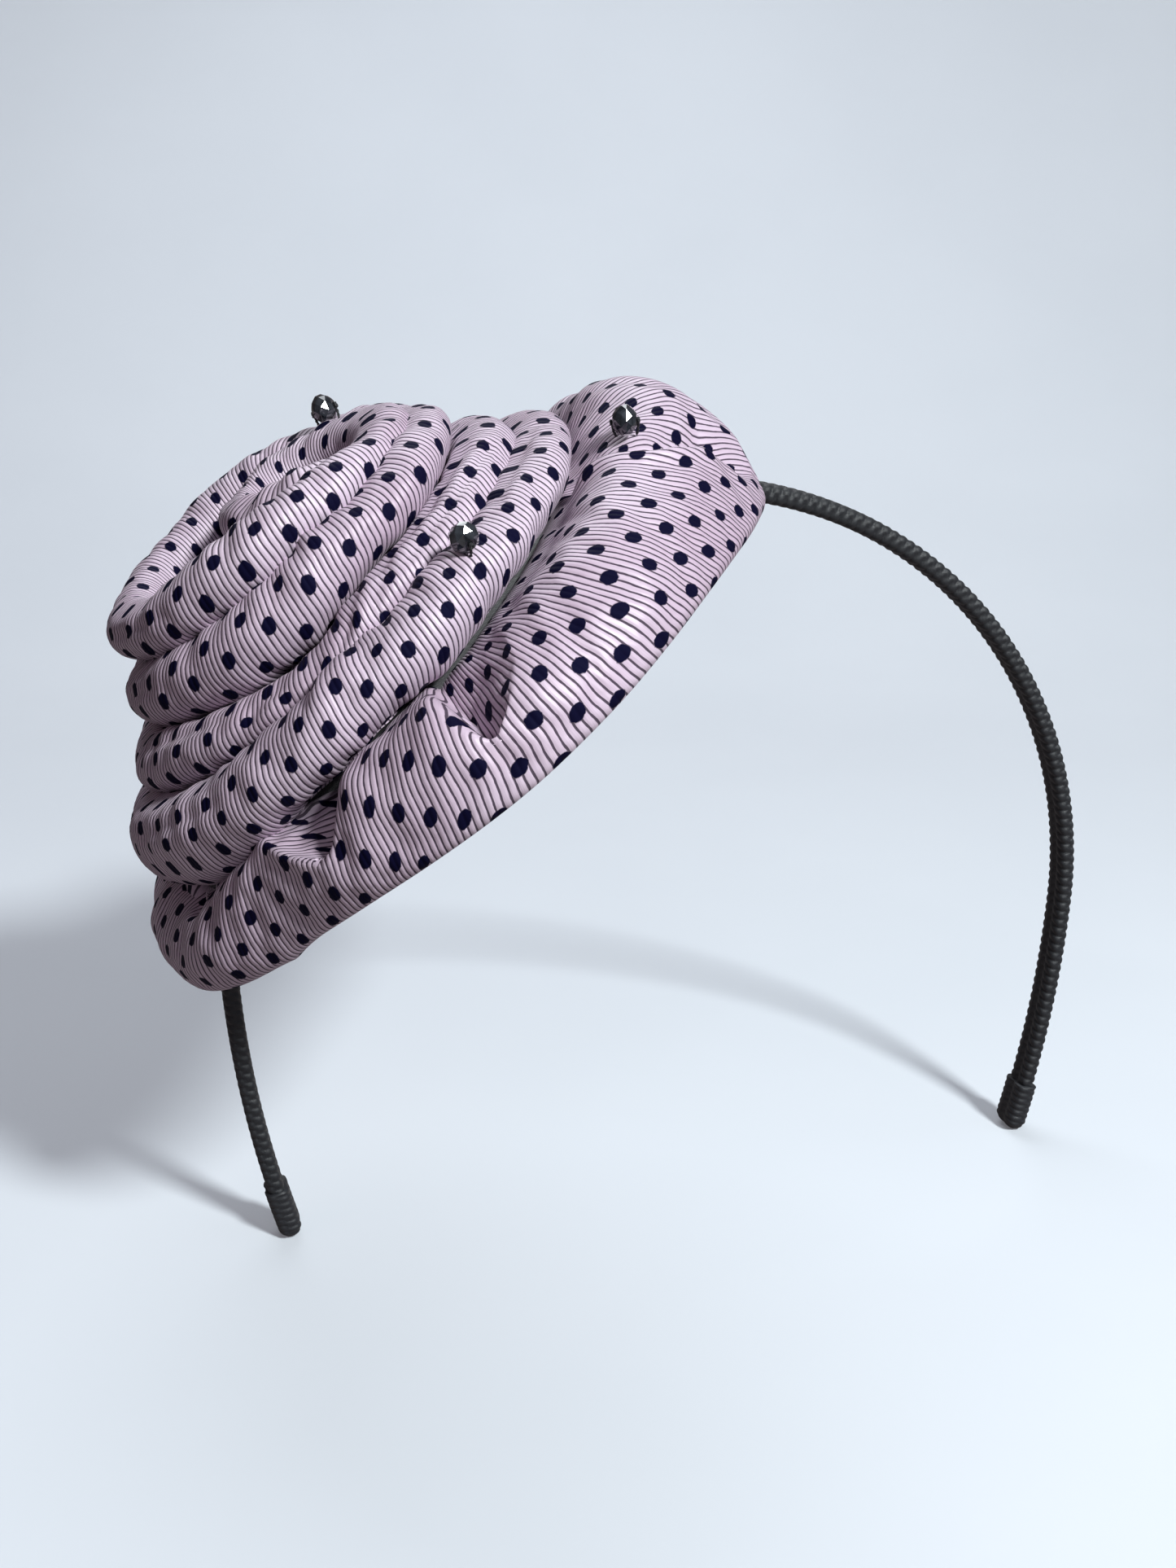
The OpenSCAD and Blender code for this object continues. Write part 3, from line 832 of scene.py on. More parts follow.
# lean of the pattern's lines
LINE_LEAN = [(-180, -0.15), (-140, 0.2), (-100, 0.2), (-70, -0.2), (-45, 0.0), (-20, 0.36),
             (20, 0.36), (55, 0.32), (95, -0.26), (112, -0.30), (140, -0.12), (180, -0.15)]

# Two sharp pleats at the front: a slit under an overhanging lip, and a facet of cloth that
# climbs from it to a crease. Slit and crease azimuth and depth go by the place on the profile
# (0 valley, 1 rim); floor heights go by FLOOR_RADII; ease is the power of the facet's slope.
FLOOR_RADII = [40.0, 42.0, 44.5, 47.0, 49.5, 52.0, 54.5, 57.0]
SHARP_PLEATS = [
    dict(slit=[(-0.8, 88.5), (0.0, 89.0), (0.35, 88.6), (0.6, 88.4), (0.74, 87.0)],
         crease=[(-0.8, 72.0), (0.0, 73.5), (0.3, 75.5), (0.48, 78.0), (0.6, 81.0),
                 (0.7, 85.6), (0.74, 86.4)],
         depth=[(-0.8, 0.0), (-0.35, 1.5), (-0.1, 2.4), (0.05, 4.0), (0.2, 6.4), (0.45, 7.6),
                (0.6, 6.0), (0.68, 2.6), (0.73, 0.0)],
         floor=[73.4, 72.4, 70.9, 69.0, 67.0, 65.0, 63.0, 61.5],
         ease=1.35),
    dict(slit=[(-0.8, 109.5), (0.0, 110.3), (0.2, 111.8), (0.35, 113.6), (0.5, 116.0),
               (0.62, 118.4), (0.68, 119.2)],
         crease=[(-0.8, 134.0), (0.0, 133.5), (0.15, 132.0), (0.35, 128.6), (0.5, 124.6),
                 (0.62, 120.4), (0.68, 119.6)],
         depth=[(-0.8, 0.0), (-0.35, 1.2), (-0.1, 2.2), (0.05, 3.2), (0.25, 4.6), (0.45, 5.0),
                (0.58, 3.6), (0.66, 0.0)],
         floor=[70.0, 69.4, 68.6, 67.6, 66.8, 64.8, 62.8, 61.0],
         ease=1.25),
]
# Soft pleats: azimuth at the valley and at the rim, floor heights at FLOOR_RADII, share of the
# full depth, widths towards greater and lesser azimuth, share of width at the rim, end radius
SOFT_PLEATS = [
    (163.0, 160.0, [64, 63.5, 63, 63, 62.5, 61.5, 60, 58.0], 0.35, 5.0, 6.0, 0.5, 52.0),
    (-33.0, -30.0, [71, 69.5, 69, 68.5, 68, 67, 65.5, 63.5], 0.9, 4.0, 6.0, 0.4, 54.0),
    (-62.0, -64.0, [71, 70, 69, 68.5, 68, 67, 65.5, 63.5], 0.45, 5.0, 4.0, 0.5, 52.0),
    (-96.0, -98.0, [70, 68.5, 68, 67.5, 67, 66, 64, 62.0], 0.95, 5.0, 3.5, 0.4, 54.0),
    (-135.0, -131.0, [67, 66, 65.5, 65, 64.5, 63, 61, 59.0], 0.9, 3.5, 6.0, 0.4, 54.0)]
# Hollow with a sharp lip: profile place, azimuth of the hollow, azimuth of the lip
HOLLOW = [(0.0, 29.0, 33.5), (0.2, 28.5, 33.2), (0.35, 27.5, 32.2), (0.45, 26.0, 30.8),
          (0.55, 23.0, 27.8), (0.62, 20.0, 24.8), (0.7, 17.0, 21.8), (0.8, 15.5, 20.2)]
HOLLOW_DEPTH = [(-0.05, 0.0), (0.1, 3.2), (0.3, 5.2), (0.5, 7.6), (0.66, 7.4), (0.8, 3.8),
                (0.93, 0.0)]
# Rolled lips beside pleats: azimuth at the start and at the end, height, first and last place
# on the profile, width in degrees
LIPS = [(93.5, 92.0, 1.0, 0.0, 0.8, 4.0), (107.5, 111.0, 0.9, 0.02, 0.75, 3.6),
        (134.0, 119.5, 1.1, 0.0, 0.66, 3.0), (-25.0, -24.0, 1.2, 0.0, 0.7, 5.0),
        (-88.0, -90.0, 1.2, 0.0, 0.7, 4.0)]


def lookup(x, rows):
    return np.interp(x, *np.array(rows).T)


def rim_height(azimuth, rim):
    """Height at which the rolled rim rests on the head or the band."""
    a = (rim - RIM_ROLL) * np.cos(np.radians(azimuth))
    b = (rim - RIM_ROLL) * np.sin(np.radians(azimuth))
    head = np.sqrt(np.maximum(76 ** 2 * (1 - b * b / 95 ** 2) - a * a, 0)) + RIM_ROLL + 0.3
    band = np.sqrt(np.maximum(80.0 ** 2 - a ** 2, 0)) + RIM_ROLL
    near_band = bell(b / 9.0, 4)
    height = np.maximum(head, head * (1 - near_band) + band * near_band)
    return np.maximum(height, table(azimuth, RIM_LOWEST, 4, 360))


def skirt_profile(azimuth):
    """Radius and height along each profile, length of its top part, and the rim radius."""
    turn = np.radians(azimuth)
    valley = table(azimuth, VALLEY, 3, 360)[:, None]
    rim = table(azimuth, RIM, 4, 360)
    crest = table(azimuth, CREST, 4, 360)[:, None]
    low = rim_height(azimuth, rim)[:, None]
    inner = (41 - 4 * np.cos(turn) + 1 * np.sin(turn))[:, None]
    outer = rim[:, None]

    # nearly flat from the valley, then rounding over to the rim
    quarter = np.linspace(0, 1, 200) * np.pi / 2
    x, y = np.sin(quarter) ** 0.80, np.cos(quarter) ** 0.80
    top = np.stack([inner + (outer - inner) * x,
                    low + (valley - low) * y + crest * np.sin(np.pi * x ** 1.1) ** 1.2], -1)
    top, top_length = resample(top, N_TOP)

    t = np.linspace(0, 1, 30)
    tuck = np.stack([np.linspace(inner[:, 0] - 11, inner[:, 0], 30).T,
                     valley - 3.5 * (1 - t) ** 1.6], -1)
    tuck, _ = resample(tuck, N_TUCK + 1)

    roll = np.radians(np.linspace(0, -205, 60))
    rolled = np.stack([outer - RIM_ROLL + RIM_ROLL * np.cos(roll),
                       low + RIM_ROLL * np.sin(roll)], -1)
    rolled, _ = resample(rolled, N_RIM + 1)

    # folded-under part, a Bezier curve up to the binding
    start = rolled[:, -1]
    bulge = (start + UNDER_TURN) / 2 + 1.2
    t = np.linspace(0, 1, 60)[:, None, None]
    under = ((1 - t) ** 3 * start + 3 * (1 - t) ** 2 * t * bulge
             + 3 * (1 - t) * t ** 2 * UNDER_TURN + t ** 3 * UNDER_END)
    under, _ = resample(np.moveaxis(under, 0, 1), N_UNDER + 1)
    profile = np.concatenate([tuck[:, :-1], top, rolled[:, 1:], under[:, 1:]], 1)
    return profile, top_length, rim


def sharp_facet(pleat, azimuth, place):
    """Crease azimuth, degrees past the slit, and share of the way from slit to crease."""
    slit, crease = lookup(place, pleat["slit"]), lookup(place, pleat["crease"])
    past = wrap_degrees(azimuth - slit)
    width = crease - slit
    return crease, past, past / np.where(np.abs(width) < 0.5, 0.5 * np.sign(width + 1e-6), width)


def sink_pleats(points, radius, azimuth, place, rim):
    """Lower the skirt into its pleats, in place."""
    upper = N_TUCK + N_TOP
    on_top = (np.arange(radius.shape[1]) < upper)[None, :]
    height = points[..., 2].copy()
    sag = np.zeros_like(place)
    for inner, outer, floor, share, more, less, shut, end in SOFT_PLEATS:
        f = np.clip((radius - 41.0) / 14.0, 0, 1)
        x = wrap_degrees(azimuth - (inner + (outer - inner) * f))
        width = np.where(x > 0, more, less) * (1 - (1 - shut) * f)
        shape = bell(x / width, 1.5) * (1 - smoothstep(radius, end, end + 3.5))
        drop = np.maximum(height - np.interp(radius, FLOOR_RADII, floor), 0) * share
        sag = np.maximum(sag, drop * shape)
    sag = sag * smoothstep(place, -0.75, -0.35) * on_top
    points[..., 2] -= sag
    for pleat in SHARP_PLEATS:
        _, past, share = sharp_facet(pleat, azimuth, place)
        f = np.clip(share, 0, 1)
        shape = np.where(share >= 0, (1 - f) ** pleat["ease"] * (1 - 0.12 * np.sin(np.pi * f)),
                         bell(past / 1.25))
        room = np.maximum(points[..., 2] - np.interp(radius, FLOOR_RADII, pleat["floor"]), 0)
        drop = np.minimum(lookup(place, pleat["depth"]), room) * shape * on_top
        points[..., 2] -= drop
        sag = np.maximum(sag, drop)
    # the folded-under part stays 1.4 mm below the pleats
    for i, rim_radius in enumerate(rim):
        top_radius, below = radius[i, :upper], radius[i, upper:]
        dip = np.interp(below, top_radius, sag[i, :upper])
        ceiling = np.interp(below, top_radius, points[i, :upper, 2]) - 1.4
        away = 1 - smoothstep(below, rim_radius - 4.5, rim_radius - 2.5)
        points[i, upper:, 2] -= (np.maximum(points[i, upper:, 2] - ceiling, 0)
                                 * smoothstep(dip, 0.05, 0.6) * away)


def skirt_relief(azimuth, place, around, length):
    """Outward shift of the skirt for its hollow, lips and small folds, in mm."""
    stations, hollow, lip = np.array(HOLLOW).T
    x = wrap_degrees(azimuth - np.interp(place, stations, hollow))
    shift = -bell(x / np.where(x > 0, 2.8, 9.5), 1.7) * lookup(place, HOLLOW_DEPTH)
    x = wrap_degrees(azimuth - np.interp(place, stations, lip))
    shift += 1.3 * bell(x / 2.8) * smoothstep(place, 0.0, 0.2) * (
        1 - smoothstep(place, 0.62, 0.85))
    for start, end, amount, first, last, width in LIPS:
        f = np.clip((place - first) / (last - first), 0, 1)
        x = wrap_degrees(azimuth - (start + (end - start) * f ** 1.6))
        fade = np.clip((place - first + 0.08) / (last - first + 0.16), 0, 1)
        shift += amount * bell(x / width) * np.sin(np.pi * fade)
    on_top = smoothstep(place, -0.2, 0.05) * (1 - smoothstep(place, 0.85, 1.1))
    turn = np.radians(azimuth)
    waves = (1.0 * np.sin(turn * 7 + 0.8) + 0.7 * np.sin(turn * 12 + 2.0)
             + 0.4 * np.sin(turn * 19 + 0.3))
    shift += 0.35 * waves * on_top * (0.3 + 0.7 * np.clip(place, 0, 1))
    shift += 0.22 * ripple(around, length, 11, 18, 0.12, 0.5) * on_top
    # fine dents, periodic in azimuth
    dents = sum(np.sin(count * turn + phase) * np.cos(0.5 * length + phase)
                for count, phase in ((31, 0.2), (47, 1.3), (62, 2.9)))
    return shift + 0.10 * dents * on_top


def upward_normals(points, column):
    """Normals, turned so that they point up at the given column of each profile."""
    normal = grid_normals(points, wrap_u=True)
    return normal * np.sign(normal[:, column, 2])[:, None, None]


def skirt_surface(count):
    """Azimuths, places on the profile, points, mm from the valley and mm round the skirt."""
    azimuth = np.linspace(-180, 180, count + 1)[:-1]
    turn = np.radians(azimuth)[:, None]
    profile, top_length, rim = skirt_profile(azimuth)
    length = running_length(profile, 1)
    length = length - length[:, N_TUCK][:, None]
    radius = profile[..., 0]
    points = polar(radius, turn, profile[..., 1])
    place = np.clip(length / top_length[:, None], -1.0, 1.6)
    around = np.broadcast_to(turn * PATTERN_RADIUS, place.shape)
    sink_pleats(points, radius, azimuth[:, None], place, rim)
    normal = upward_normals(points, N_TUCK + 60)
    shift = skirt_relief(azimuth[:, None], place, around, length)
    return azimuth, place, points + normal * shift[..., None], length, around


def puff_skirt(points, place):
    """Let the blade fill and ripple between the valley and the rim."""
    count, steps = points.shape[:2]
    rows = np.arange(0, count, 3)
    columns = np.linspace(0, steps - 1, 60).round().astype(int)
    coarse = place[rows][:, columns]
    pin = 1 - smoothstep(coarse, 0.02, 0.2) * (1 - smoothstep(coarse, 0.92, 1.08))
    shift = cloth_shift(points[rows][:, columns], pin, True, False, pressure=1.0)
    shift = np.apply_along_axis(
        lambda values: np.interp(np.arange(steps), columns, values), 1, shift)
    return points + cubic(shift, count, 0, True)


def skirt_uv(azimuth, place, length, around):
    """Fabric coordinates of the skirt, with the first profile repeated at the end."""
    girth = 2 * np.pi * PATTERN_RADIUS
    whole = round(girth / DOT_REPEAT) * DOT_REPEAT    # so that the pattern meets itself
    lean_from, along_start = 12.0, 1.0
    azimuth = np.concatenate([azimuth, [180.0]])[:, None]
    place, length = (np.concatenate([grid, grid[:1]], 0) for grid in (place, length))
    around = around / girth * whole
    around = np.concatenate([around, around[:1] + whole], 0)
    lean = table(azimuth, LINE_LEAN, 4, 360)
    uv = np.stack([around + lean * (length - lean_from), length + along_start], -1)
    # on the second sharp pleat's facet the lines run across, from crease to slit
    crease, past, share = sharp_facet(SHARP_PLEATS[1], azimuth, place)
    lean = table(crease, LINE_LEAN, 4, 360)
    turned = np.stack([np.radians(crease) / (2 * np.pi) * whole + lean * (length - lean_from),
                       length + along_start - (crease - azimuth) * 0.855], -1)
    on_facet = (past >= -0.2) & (share < 1) & (place < 0.66) & (place > -0.6)
    return np.where(on_facet[..., None], turned, uv)


def make_skirt():
    azimuth, place, points, length, around = skirt_surface(960)
    points = world(points)
    points = puff_skirt(points, place)
    uv = skirt_uv(azimuth, place, length, around)
    return grid_mesh("tie_blade", points, uv, wrap_u=True)


neck, tail = make_coil()
blade = make_skirt()
for ob in (neck, tail, blade):
    face_outward(ob)
    paint(ob, "silk")
    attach(ob, "crown")
thicken(blade, "cloth_thickness", thickness=0.0007, offset=-1)
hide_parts("tie_blade", "tie_blade_interlining")
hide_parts("tie_neck", "tie_interlining")
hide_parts("tie_tail")

# ---------------------------------------------------------------- headband
CROWN_RADIUS = 77.5
ARM_RADIUS = 217.0
ARM_DROP = 48                      # the arms' ends lie this far below the origin
CROWN_QUARTER = CROWN_RADIUS * math.pi / 2
BAND_END = CROWN_QUARTER + math.asin(ARM_DROP / ARM_RADIUS) * ARM_RADIUS
BRAID_HALF_THICK, BRAID_HALF_WIDE = 1.5, 2.8
BRAID_STEP = 0.22
BRAID_SIDES = 56


def band_path(stations):
    """Centre line and outward directions at stations in mm from the top, positive to +x."""
    position, outward = np.zeros((2, len(stations), 3))
    distance = np.abs(stations)
    angle = np.minimum(distance, CROWN_QUARTER) / CROWN_RADIUS
    outward[:, 0], outward[:, 2] = np.sin(angle), np.cos(angle)
    position[:] = CROWN_RADIUS * outward
    arm = distance > CROWN_QUARTER
    angle = (distance[arm] - CROWN_QUARTER) / ARM_RADIUS
    position[arm, 0] = CROWN_RADIUS - ARM_RADIUS + ARM_RADIUS * np.cos(angle)
    position[arm, 2] = -ARM_RADIUS * np.sin(angle)
    outward[arm, 0], outward[arm, 2] = np.cos(angle), -np.sin(angle)
    position[:, 0] *= np.sign(stations)
    outward[:, 0] *= np.sign(stations)
    return position, outward


def braid(name, start, end, grow=0.0, pitch=1.7, relief=0.30, tip=None):
    """Two cords side by side, laid with slanting strands; tip is a station to round off."""
    stations = np.linspace(start, end, int(abs(end - start) / BRAID_STEP) + 1)
    position, outward = band_path(stations)
    angle = np.linspace(0, 2 * np.pi, BRAID_SIDES, endpoint=False)
    squareness = 0.55
    x = signed_power(np.cos(angle), squareness)[None, :]    # through the thickness
    y = signed_power(np.sin(angle), squareness)[None, :]    # across the band
    face = np.where(x > 0, 1, -1)
    groove = 0.36 * bell(y * BRAID_HALF_WIDE / 0.55)
    # a herringbone that turns over at the edges, which are scalloped
    phase = 0.5 * (2 * np.pi * stations[:, None] / pitch)
    strand = relief * (np.abs(np.sin(phase + 2.4 * np.abs(y) * face)) ** 0.6 - 0.75)
    scallop = 0.22 * (np.abs(np.sin(phase + 2.4 * face)) ** 0.7 - 0.5)
    thick = x * (BRAID_HALF_THICK + grow - groove * np.abs(x) + strand)
    wide = y * (BRAID_HALF_WIDE + grow + strand * 0.6 + scallop * np.abs(y) ** 4)
    if tip is not None:
        near = np.clip(np.abs(stations - tip) / 2.2, 0, 1)
        rounding = np.sqrt(np.clip(1 - (1 - near) ** 2, 0.0004, 1))[:, None]
        thick = thick * rounding
        wide = wide * (0.45 + 0.55 * rounding)
    points = (position[:, None] + outward[:, None] * thick[..., None]
              + np.array([0, 1.0, 0]) * wide[..., None])
    girth = 2 * (2 * BRAID_HALF_WIDE + 2 * BRAID_HALF_THICK)
    uv = np.meshgrid(stations, np.linspace(0, girth, BRAID_SIDES + 1), indexing="ij")
    ob = grid_mesh(name, points * MM, np.stack(uv, -1), wrap_v=True, caps=True)
    face_outward(ob)
    return ob


def crown_station(degrees):
    return math.radians(degrees) * CROWN_RADIUS


def crown_point(degrees):
    position, _ = band_path(np.array([crown_station(degrees)]))
    return tuple(position[0] * MM)


BRAID_GAP = 0.2                    # from the braid's end to the band's
CAP_LENGTH, CAP_OVERHANG = 9.2, 0.6
CAP_SHAPE = dict(grow=0.62, pitch=1.3, relief=0.22)
CAP_TIP = BAND_END + CAP_OVERHANG
CAP_INNER = BAND_END - CAP_LENGTH

left_braid = braid("band_braid_left", crown_station(-38.0), BAND_END - BRAID_GAP)
right_braid = braid("band_braid_right", -BAND_END + BRAID_GAP, crown_station(-38.3))
paint(left_braid, "braid")
paint(right_braid, "braid")
left_cap = braid("end_cap_left", CAP_INNER, CAP_TIP, tip=CAP_TIP, **CAP_SHAPE)
right_cap = braid("end_cap_right", -CAP_TIP, -CAP_INNER, tip=-CAP_TIP, **CAP_SHAPE)
crown_point(33.5)
crown_point(36.5)
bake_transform(left_braid)
crown_point(-84.5)
crown_point(-87.5)
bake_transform(right_braid)
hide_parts("band_braid_crown", "band_braid_left")
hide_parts("band_braid_right")
place_piece(left_cap, "cap", "end_cap_left", node="arm_left")
place_piece(right_cap, "cap", "end_cap_right", node="arm_right")

# ---------------------------------------------------------------- base
DOME_CENTRE = -8.6                 # height of the centre of the base's domed surfaces
DOME_RADIUS, DOME_TOP_RADIUS = 88, 90.5
LINING_DOME, LINING_RADIUS = 88.05, 44.3
EDGE_RADIUS = 46.75                # ring that the binding wraps
BINDING_RADIUS = 2.25              # of the binding's own section
STITCH_DEGREES = (-24, -12, 0, 12, 24)    # along the band, on either side of it


def dome_height(dome_radius, radius):
    return DOME_CENTRE + np.sqrt(np.maximum(dome_radius * dome_radius - radius * radius, 0))


def make_lining():
    """Felt disc under the base, dented a little by the stitches."""
    radius = np.linspace(0.05, LINING_RADIUS, 70)
    turn = np.linspace(0, 2 * np.pi, 240, endpoint=False)
    turn, radius = np.meshgrid(turn, radius)
    a, b = radius * np.cos(turn), radius * np.sin(turn)
    height = dome_height(LINING_DOME, radius) + 0.10 * ripple(a, b, 21, 20, 0.2, 1.0)
    for side in (-1, 1):
        for degrees in STITCH_DEGREES:
            stitch_a = DOME_RADIUS * math.sin(math.radians(degrees))
            height = height + 0.35 * np.exp(-((a - stitch_a) ** 2 + (b - side * 3.35) ** 2) / 2.0)
    uv = np.stack([a, b], -1)
    uv = np.concatenate([uv, uv[:, :1]], 1)
    ob = grid_mesh("base_lining", world(np.stack([a, b, height], -1)), uv, wrap_v=True)
    thicken(ob, "felt", thickness=0.0009, offset=1)
    # close the pinhole in the middle; only its boundary edges are this short
    bm = bmesh.new()
    bm.from_mesh(ob.data)
    pinhole = [edge for edge in bm.edges
               if edge.is_boundary and (edge.verts[0].co - edge.verts[1].co).length < 0.0001]
    bmesh.ops.holes_fill(bm, edges=pinhole, sides=0)
    bm.to_mesh(ob.data)
    bm.free()
    face_outward(ob)
    return ob


def make_binding():
    """Bias strip round the base's edge, puckered near its two borders."""
    turn = np.linspace(0, 2 * np.pi, 480, endpoint=False)
    section = np.radians(np.linspace(-136, 136, 30))
    turn, section = np.meshgrid(turn, section, indexing="ij")
    pucker = 0.10 * np.sin(turn * 96) * bell((np.abs(section) - 2.2) / 0.5)
    pucker = pucker + 0.07 * ripple(turn * 46, section * 2.4, 31, 16, 0.3, 1.5)
    x = (BINDING_RADIUS + pucker) * np.cos(section)
    y = (BINDING_RADIUS + pucker) * np.sin(section)
    tilt = -math.asin(EDGE_RADIUS / DOME_RADIUS)
    radius = EDGE_RADIUS + x * math.cos(tilt) - y * math.sin(tilt)
    edge_height = float(dome_height((DOME_RADIUS + DOME_TOP_RADIUS) / 2, EDGE_RADIUS))
    height = edge_height + x * math.sin(tilt) + y * math.cos(tilt)
    uv = np.stack([turn * 46 + section * 1.2, section * BINDING_RADIUS], -1)
    uv = np.concatenate([uv, uv[:1] + np.array([2 * np.pi * 46, 0])], 0)
    ob = grid_mesh("base_binding", world(polar(radius, turn, height)), uv, wrap_u=True)
    thicken(ob, "cloth", thickness=0.0005, offset=-1)
    face_outward(ob)
    return ob


def make_band_stitches():
    """Stitches round both edges of the band."""
    band_edge = 2.45
    obs = []
    for side in (-1, 1):
        for degrees in STITCH_DEGREES:
            angle = math.radians(degrees)
            sine, cosine = math.sin(angle), math.cos(angle)
            top = (DOME_CENTRE * cosine
                   + math.sqrt(DOME_RADIUS * DOME_RADIUS - (DOME_CENTRE * sine) ** 2))
            # distance from the head's centre, and distance beyond the band's edge
            path = ((75.4, 0.25), (75.8, 0.85), (77.0, 1.05), (78.6, 1.0), (79.4, 0.85),
                    (top + 0.15, 0.9))
            obs.append(thread([(radius * sine, side * (band_edge + beyond), radius * cosine)
                               for radius, beyond in path], radius=0.28))
    return join(obs, "band_stitches")


# radius and height along the two threads of each tack, and each thread's turn in radians
TACK_THREADS = [(((48.7, 67.0), (49.6, 67.9), (50.4, 67.6), (51.6, 66.0)), 0.0),
                (((48.6, 66.6), (49.9, 67.3), (50.8, 66.9), (51.9, 65.4)), 0.018)]


def make_tacks():
    """Ten double stitches that hold the skirt to the binding."""
    obs = []
    for i in range(10):
        for path, offset in TACK_THREADS:
            radius, height = np.array(path).T
            turn = math.radians(18 + 36 * i) + offset
            obs.append(thread(polar(radius, -turn, height), radius=0.28))
    return join(obs, "skirt_tacks")


def make_tipping():
    """Plain lining on the folded-under part of the blade, at the front."""
    azimuth, _, points, length, around = skirt_surface(960)
    rows = np.where((azimuth >= 57) & (azimuth <= 150))[0]
    columns = slice(N_TUCK + N_TOP + N_RIM - 2, -3)
    normal = upward_normals(points, N_TUCK + 20)
    lining_points = points[rows][:, columns] + normal[rows][:, columns] * 0.45
    uv = np.stack([around[rows][:, columns], length[rows][:, columns]], -1)
    ob = grid_mesh("tie_tipping", world(lining_points), uv)
    thicken(ob, "cloth", thickness=0.0003, offset=1)
    return ob


place_piece(make_lining(), "felt", "base_lining")
place_piece(make_binding(), "binding", "base_binding")
place_piece(make_band_stitches(), "black_thread", "band_stitches")
place_piece(make_tacks(), "pink_thread", "skirt_tacks")
place_piece(make_tipping(), "tipping", "tie_tipping")

# ---------------------------------------------------------------- beads
BEAD_SIDES = 8
# place along the hole and radius in mm, and turn in sides; the last two rings are the hole's
BEAD_RINGS = ((-1.75, 0.95, 0), (-1.15, 1.75, 0.5), (-0.35, 2.2, 0), (0.35, 2.2, 0.5),
              (1.15, 1.75, 0), (1.75, 0.95, 0.5), (1.75, 0.42, 0.5), (-1.75, 0.42, 0))
# the thread's path through a bead: mm along the hole and mm away from the cloth
BEAD_THREAD = ((-1.5, -2.6), (-1.75, -1.9), (-1.9, -0.9), (-1.6, 0), (0, 0), (1.6, 0),
               (1.9, -0.9), (1.75, -1.9), (1.5, -2.6))


def cluster_centres(node, reach):
    """Centres of the groups of vertices that lie within reach of each other."""
    points = np.array([v.co for v in frame["nodes"][node].data.vertices], float)
    centres = []
    left = np.ones(len(points), bool)
    while left.any():
        seed = points[np.where(left)[0][0]]
        group = np.linalg.norm(points - seed, axis=1) < reach
        centres.append((points[group].min(0) + points[group].max(0)) / 2)
        left &= ~group
    return centres


def bead_faces():
    """Triangles round the barrel, then quads for both ends and the hole."""
    n = BEAD_SIDES
    sides = [(i, (i + 1) % n) for i in range(n)]
    faces = []
    for ring in range(5):
        for i, i2 in sides:
            near, near2 = ring * n + i, ring * n + i2
            far, far2 = near + n, near2 + n
            if BEAD_RINGS[ring][2] == 0:
                faces += [(near, near2, far), (near2, far2, far)]
            else:
                faces += [(near, far2, far), (near, near2, far2)]
    last, hole, hole2 = 5 * n, 6 * n, 7 * n
    for i, i2 in sides:
        faces.append((last + i, last + i2, hole + i2, hole + i))
        faces.append((i2, i, hole2 + i, hole2 + i2))
        faces.append((hole + i, hole + i2, hole2 + i2, hole2 + i))
    return faces


def facet_normal(corners, centre):
    first, second, third = corners
    normal = (second - first).cross(third - first).normalized()
    outward = (first + second + third) / 3 - centre
    return -normal if normal.dot(outward) < 0 else normal


def turn_to_light(vertices, faces, centre):
    """Turn a bead so that its nearest facet reflects the key light to the camera."""
    halfway = ((Vector(KEY_AT) - centre).normalized()
               + (Vector(CAMERA_AT) - centre).normalized()).normalized()
    normals = [facet_normal([vertices[i] for i in face], centre)
               for face in faces if len(face) == 3]
    turn = max(normals, key=halfway.dot).rotation_difference(halfway)
    return [centre + turn @ (vertex - centre) for vertex in vertices]


def seat_bead(centre, trees):
    """Bead centre drawn towards its seat on the cloth, and the direction off the cloth."""
    point, normal, _, _ = min((tree.find_nearest(centre) for tree in trees),
                              key=lambda hit: hit[3])
    if (centre - point).dot(normal) < 0:
        normal = -normal
    distance = (centre - point).length
    if distance > 0.0015:
        normal = (centre - point).normalized()
    seat = point + normal * min(max(distance, 0.0015), 0.0017)
    share = min(1.0, 0.0014 / max((seat - centre).length, 1e-9))
    return centre + (seat - centre) * share, normal


def make_bead(centre, hole, up, side):
    vertices = []
    for x, radius, offset in BEAD_RINGS:
        for i in range(BEAD_SIDES):
            t = 2 * math.pi * (i + offset) / BEAD_SIDES
            spoke = (up * math.cos(t) + side * math.sin(t)) * (radius * MM)
            vertices.append(centre + hole * (x * MM) + spoke)
    faces = bead_faces()
    vertices = turn_to_light(vertices, faces, centre)
    mesh = bpy.data.meshes.new("bead")
    mesh.from_pydata([tuple(vertex) for vertex in vertices], [], faces)
    mesh.validate()
    mesh.update()
    ob = add_object("bead", mesh)
    face_outward(ob)
    return ob


def make_bead_threads(centre, hole, up, side):
    """The thread through a bead, and a knot at each end of the hole."""
    path = [centre + hole * (x * MM) + up * (y * MM) for x, y in BEAD_THREAD]
    threads = [thread(local(path), radius=0.22)]
    for end in (-1, 1):
        knot = []
        for t in np.linspace(0, 2 * math.pi * 2.2, 40):
            loop = 0.30 + 0.08 * math.sin(3.1 * t)
            knot.append(centre + hole * ((end * 2.0 + 0.10 * math.sin(2.3 * t)) * MM)
                        + up * ((loop * math.cos(t) - 0.15) * MM)
                        + side * (loop * math.sin(t) * MM))
        threads.append(thread(local(knot), radius=0.20))
    return threads


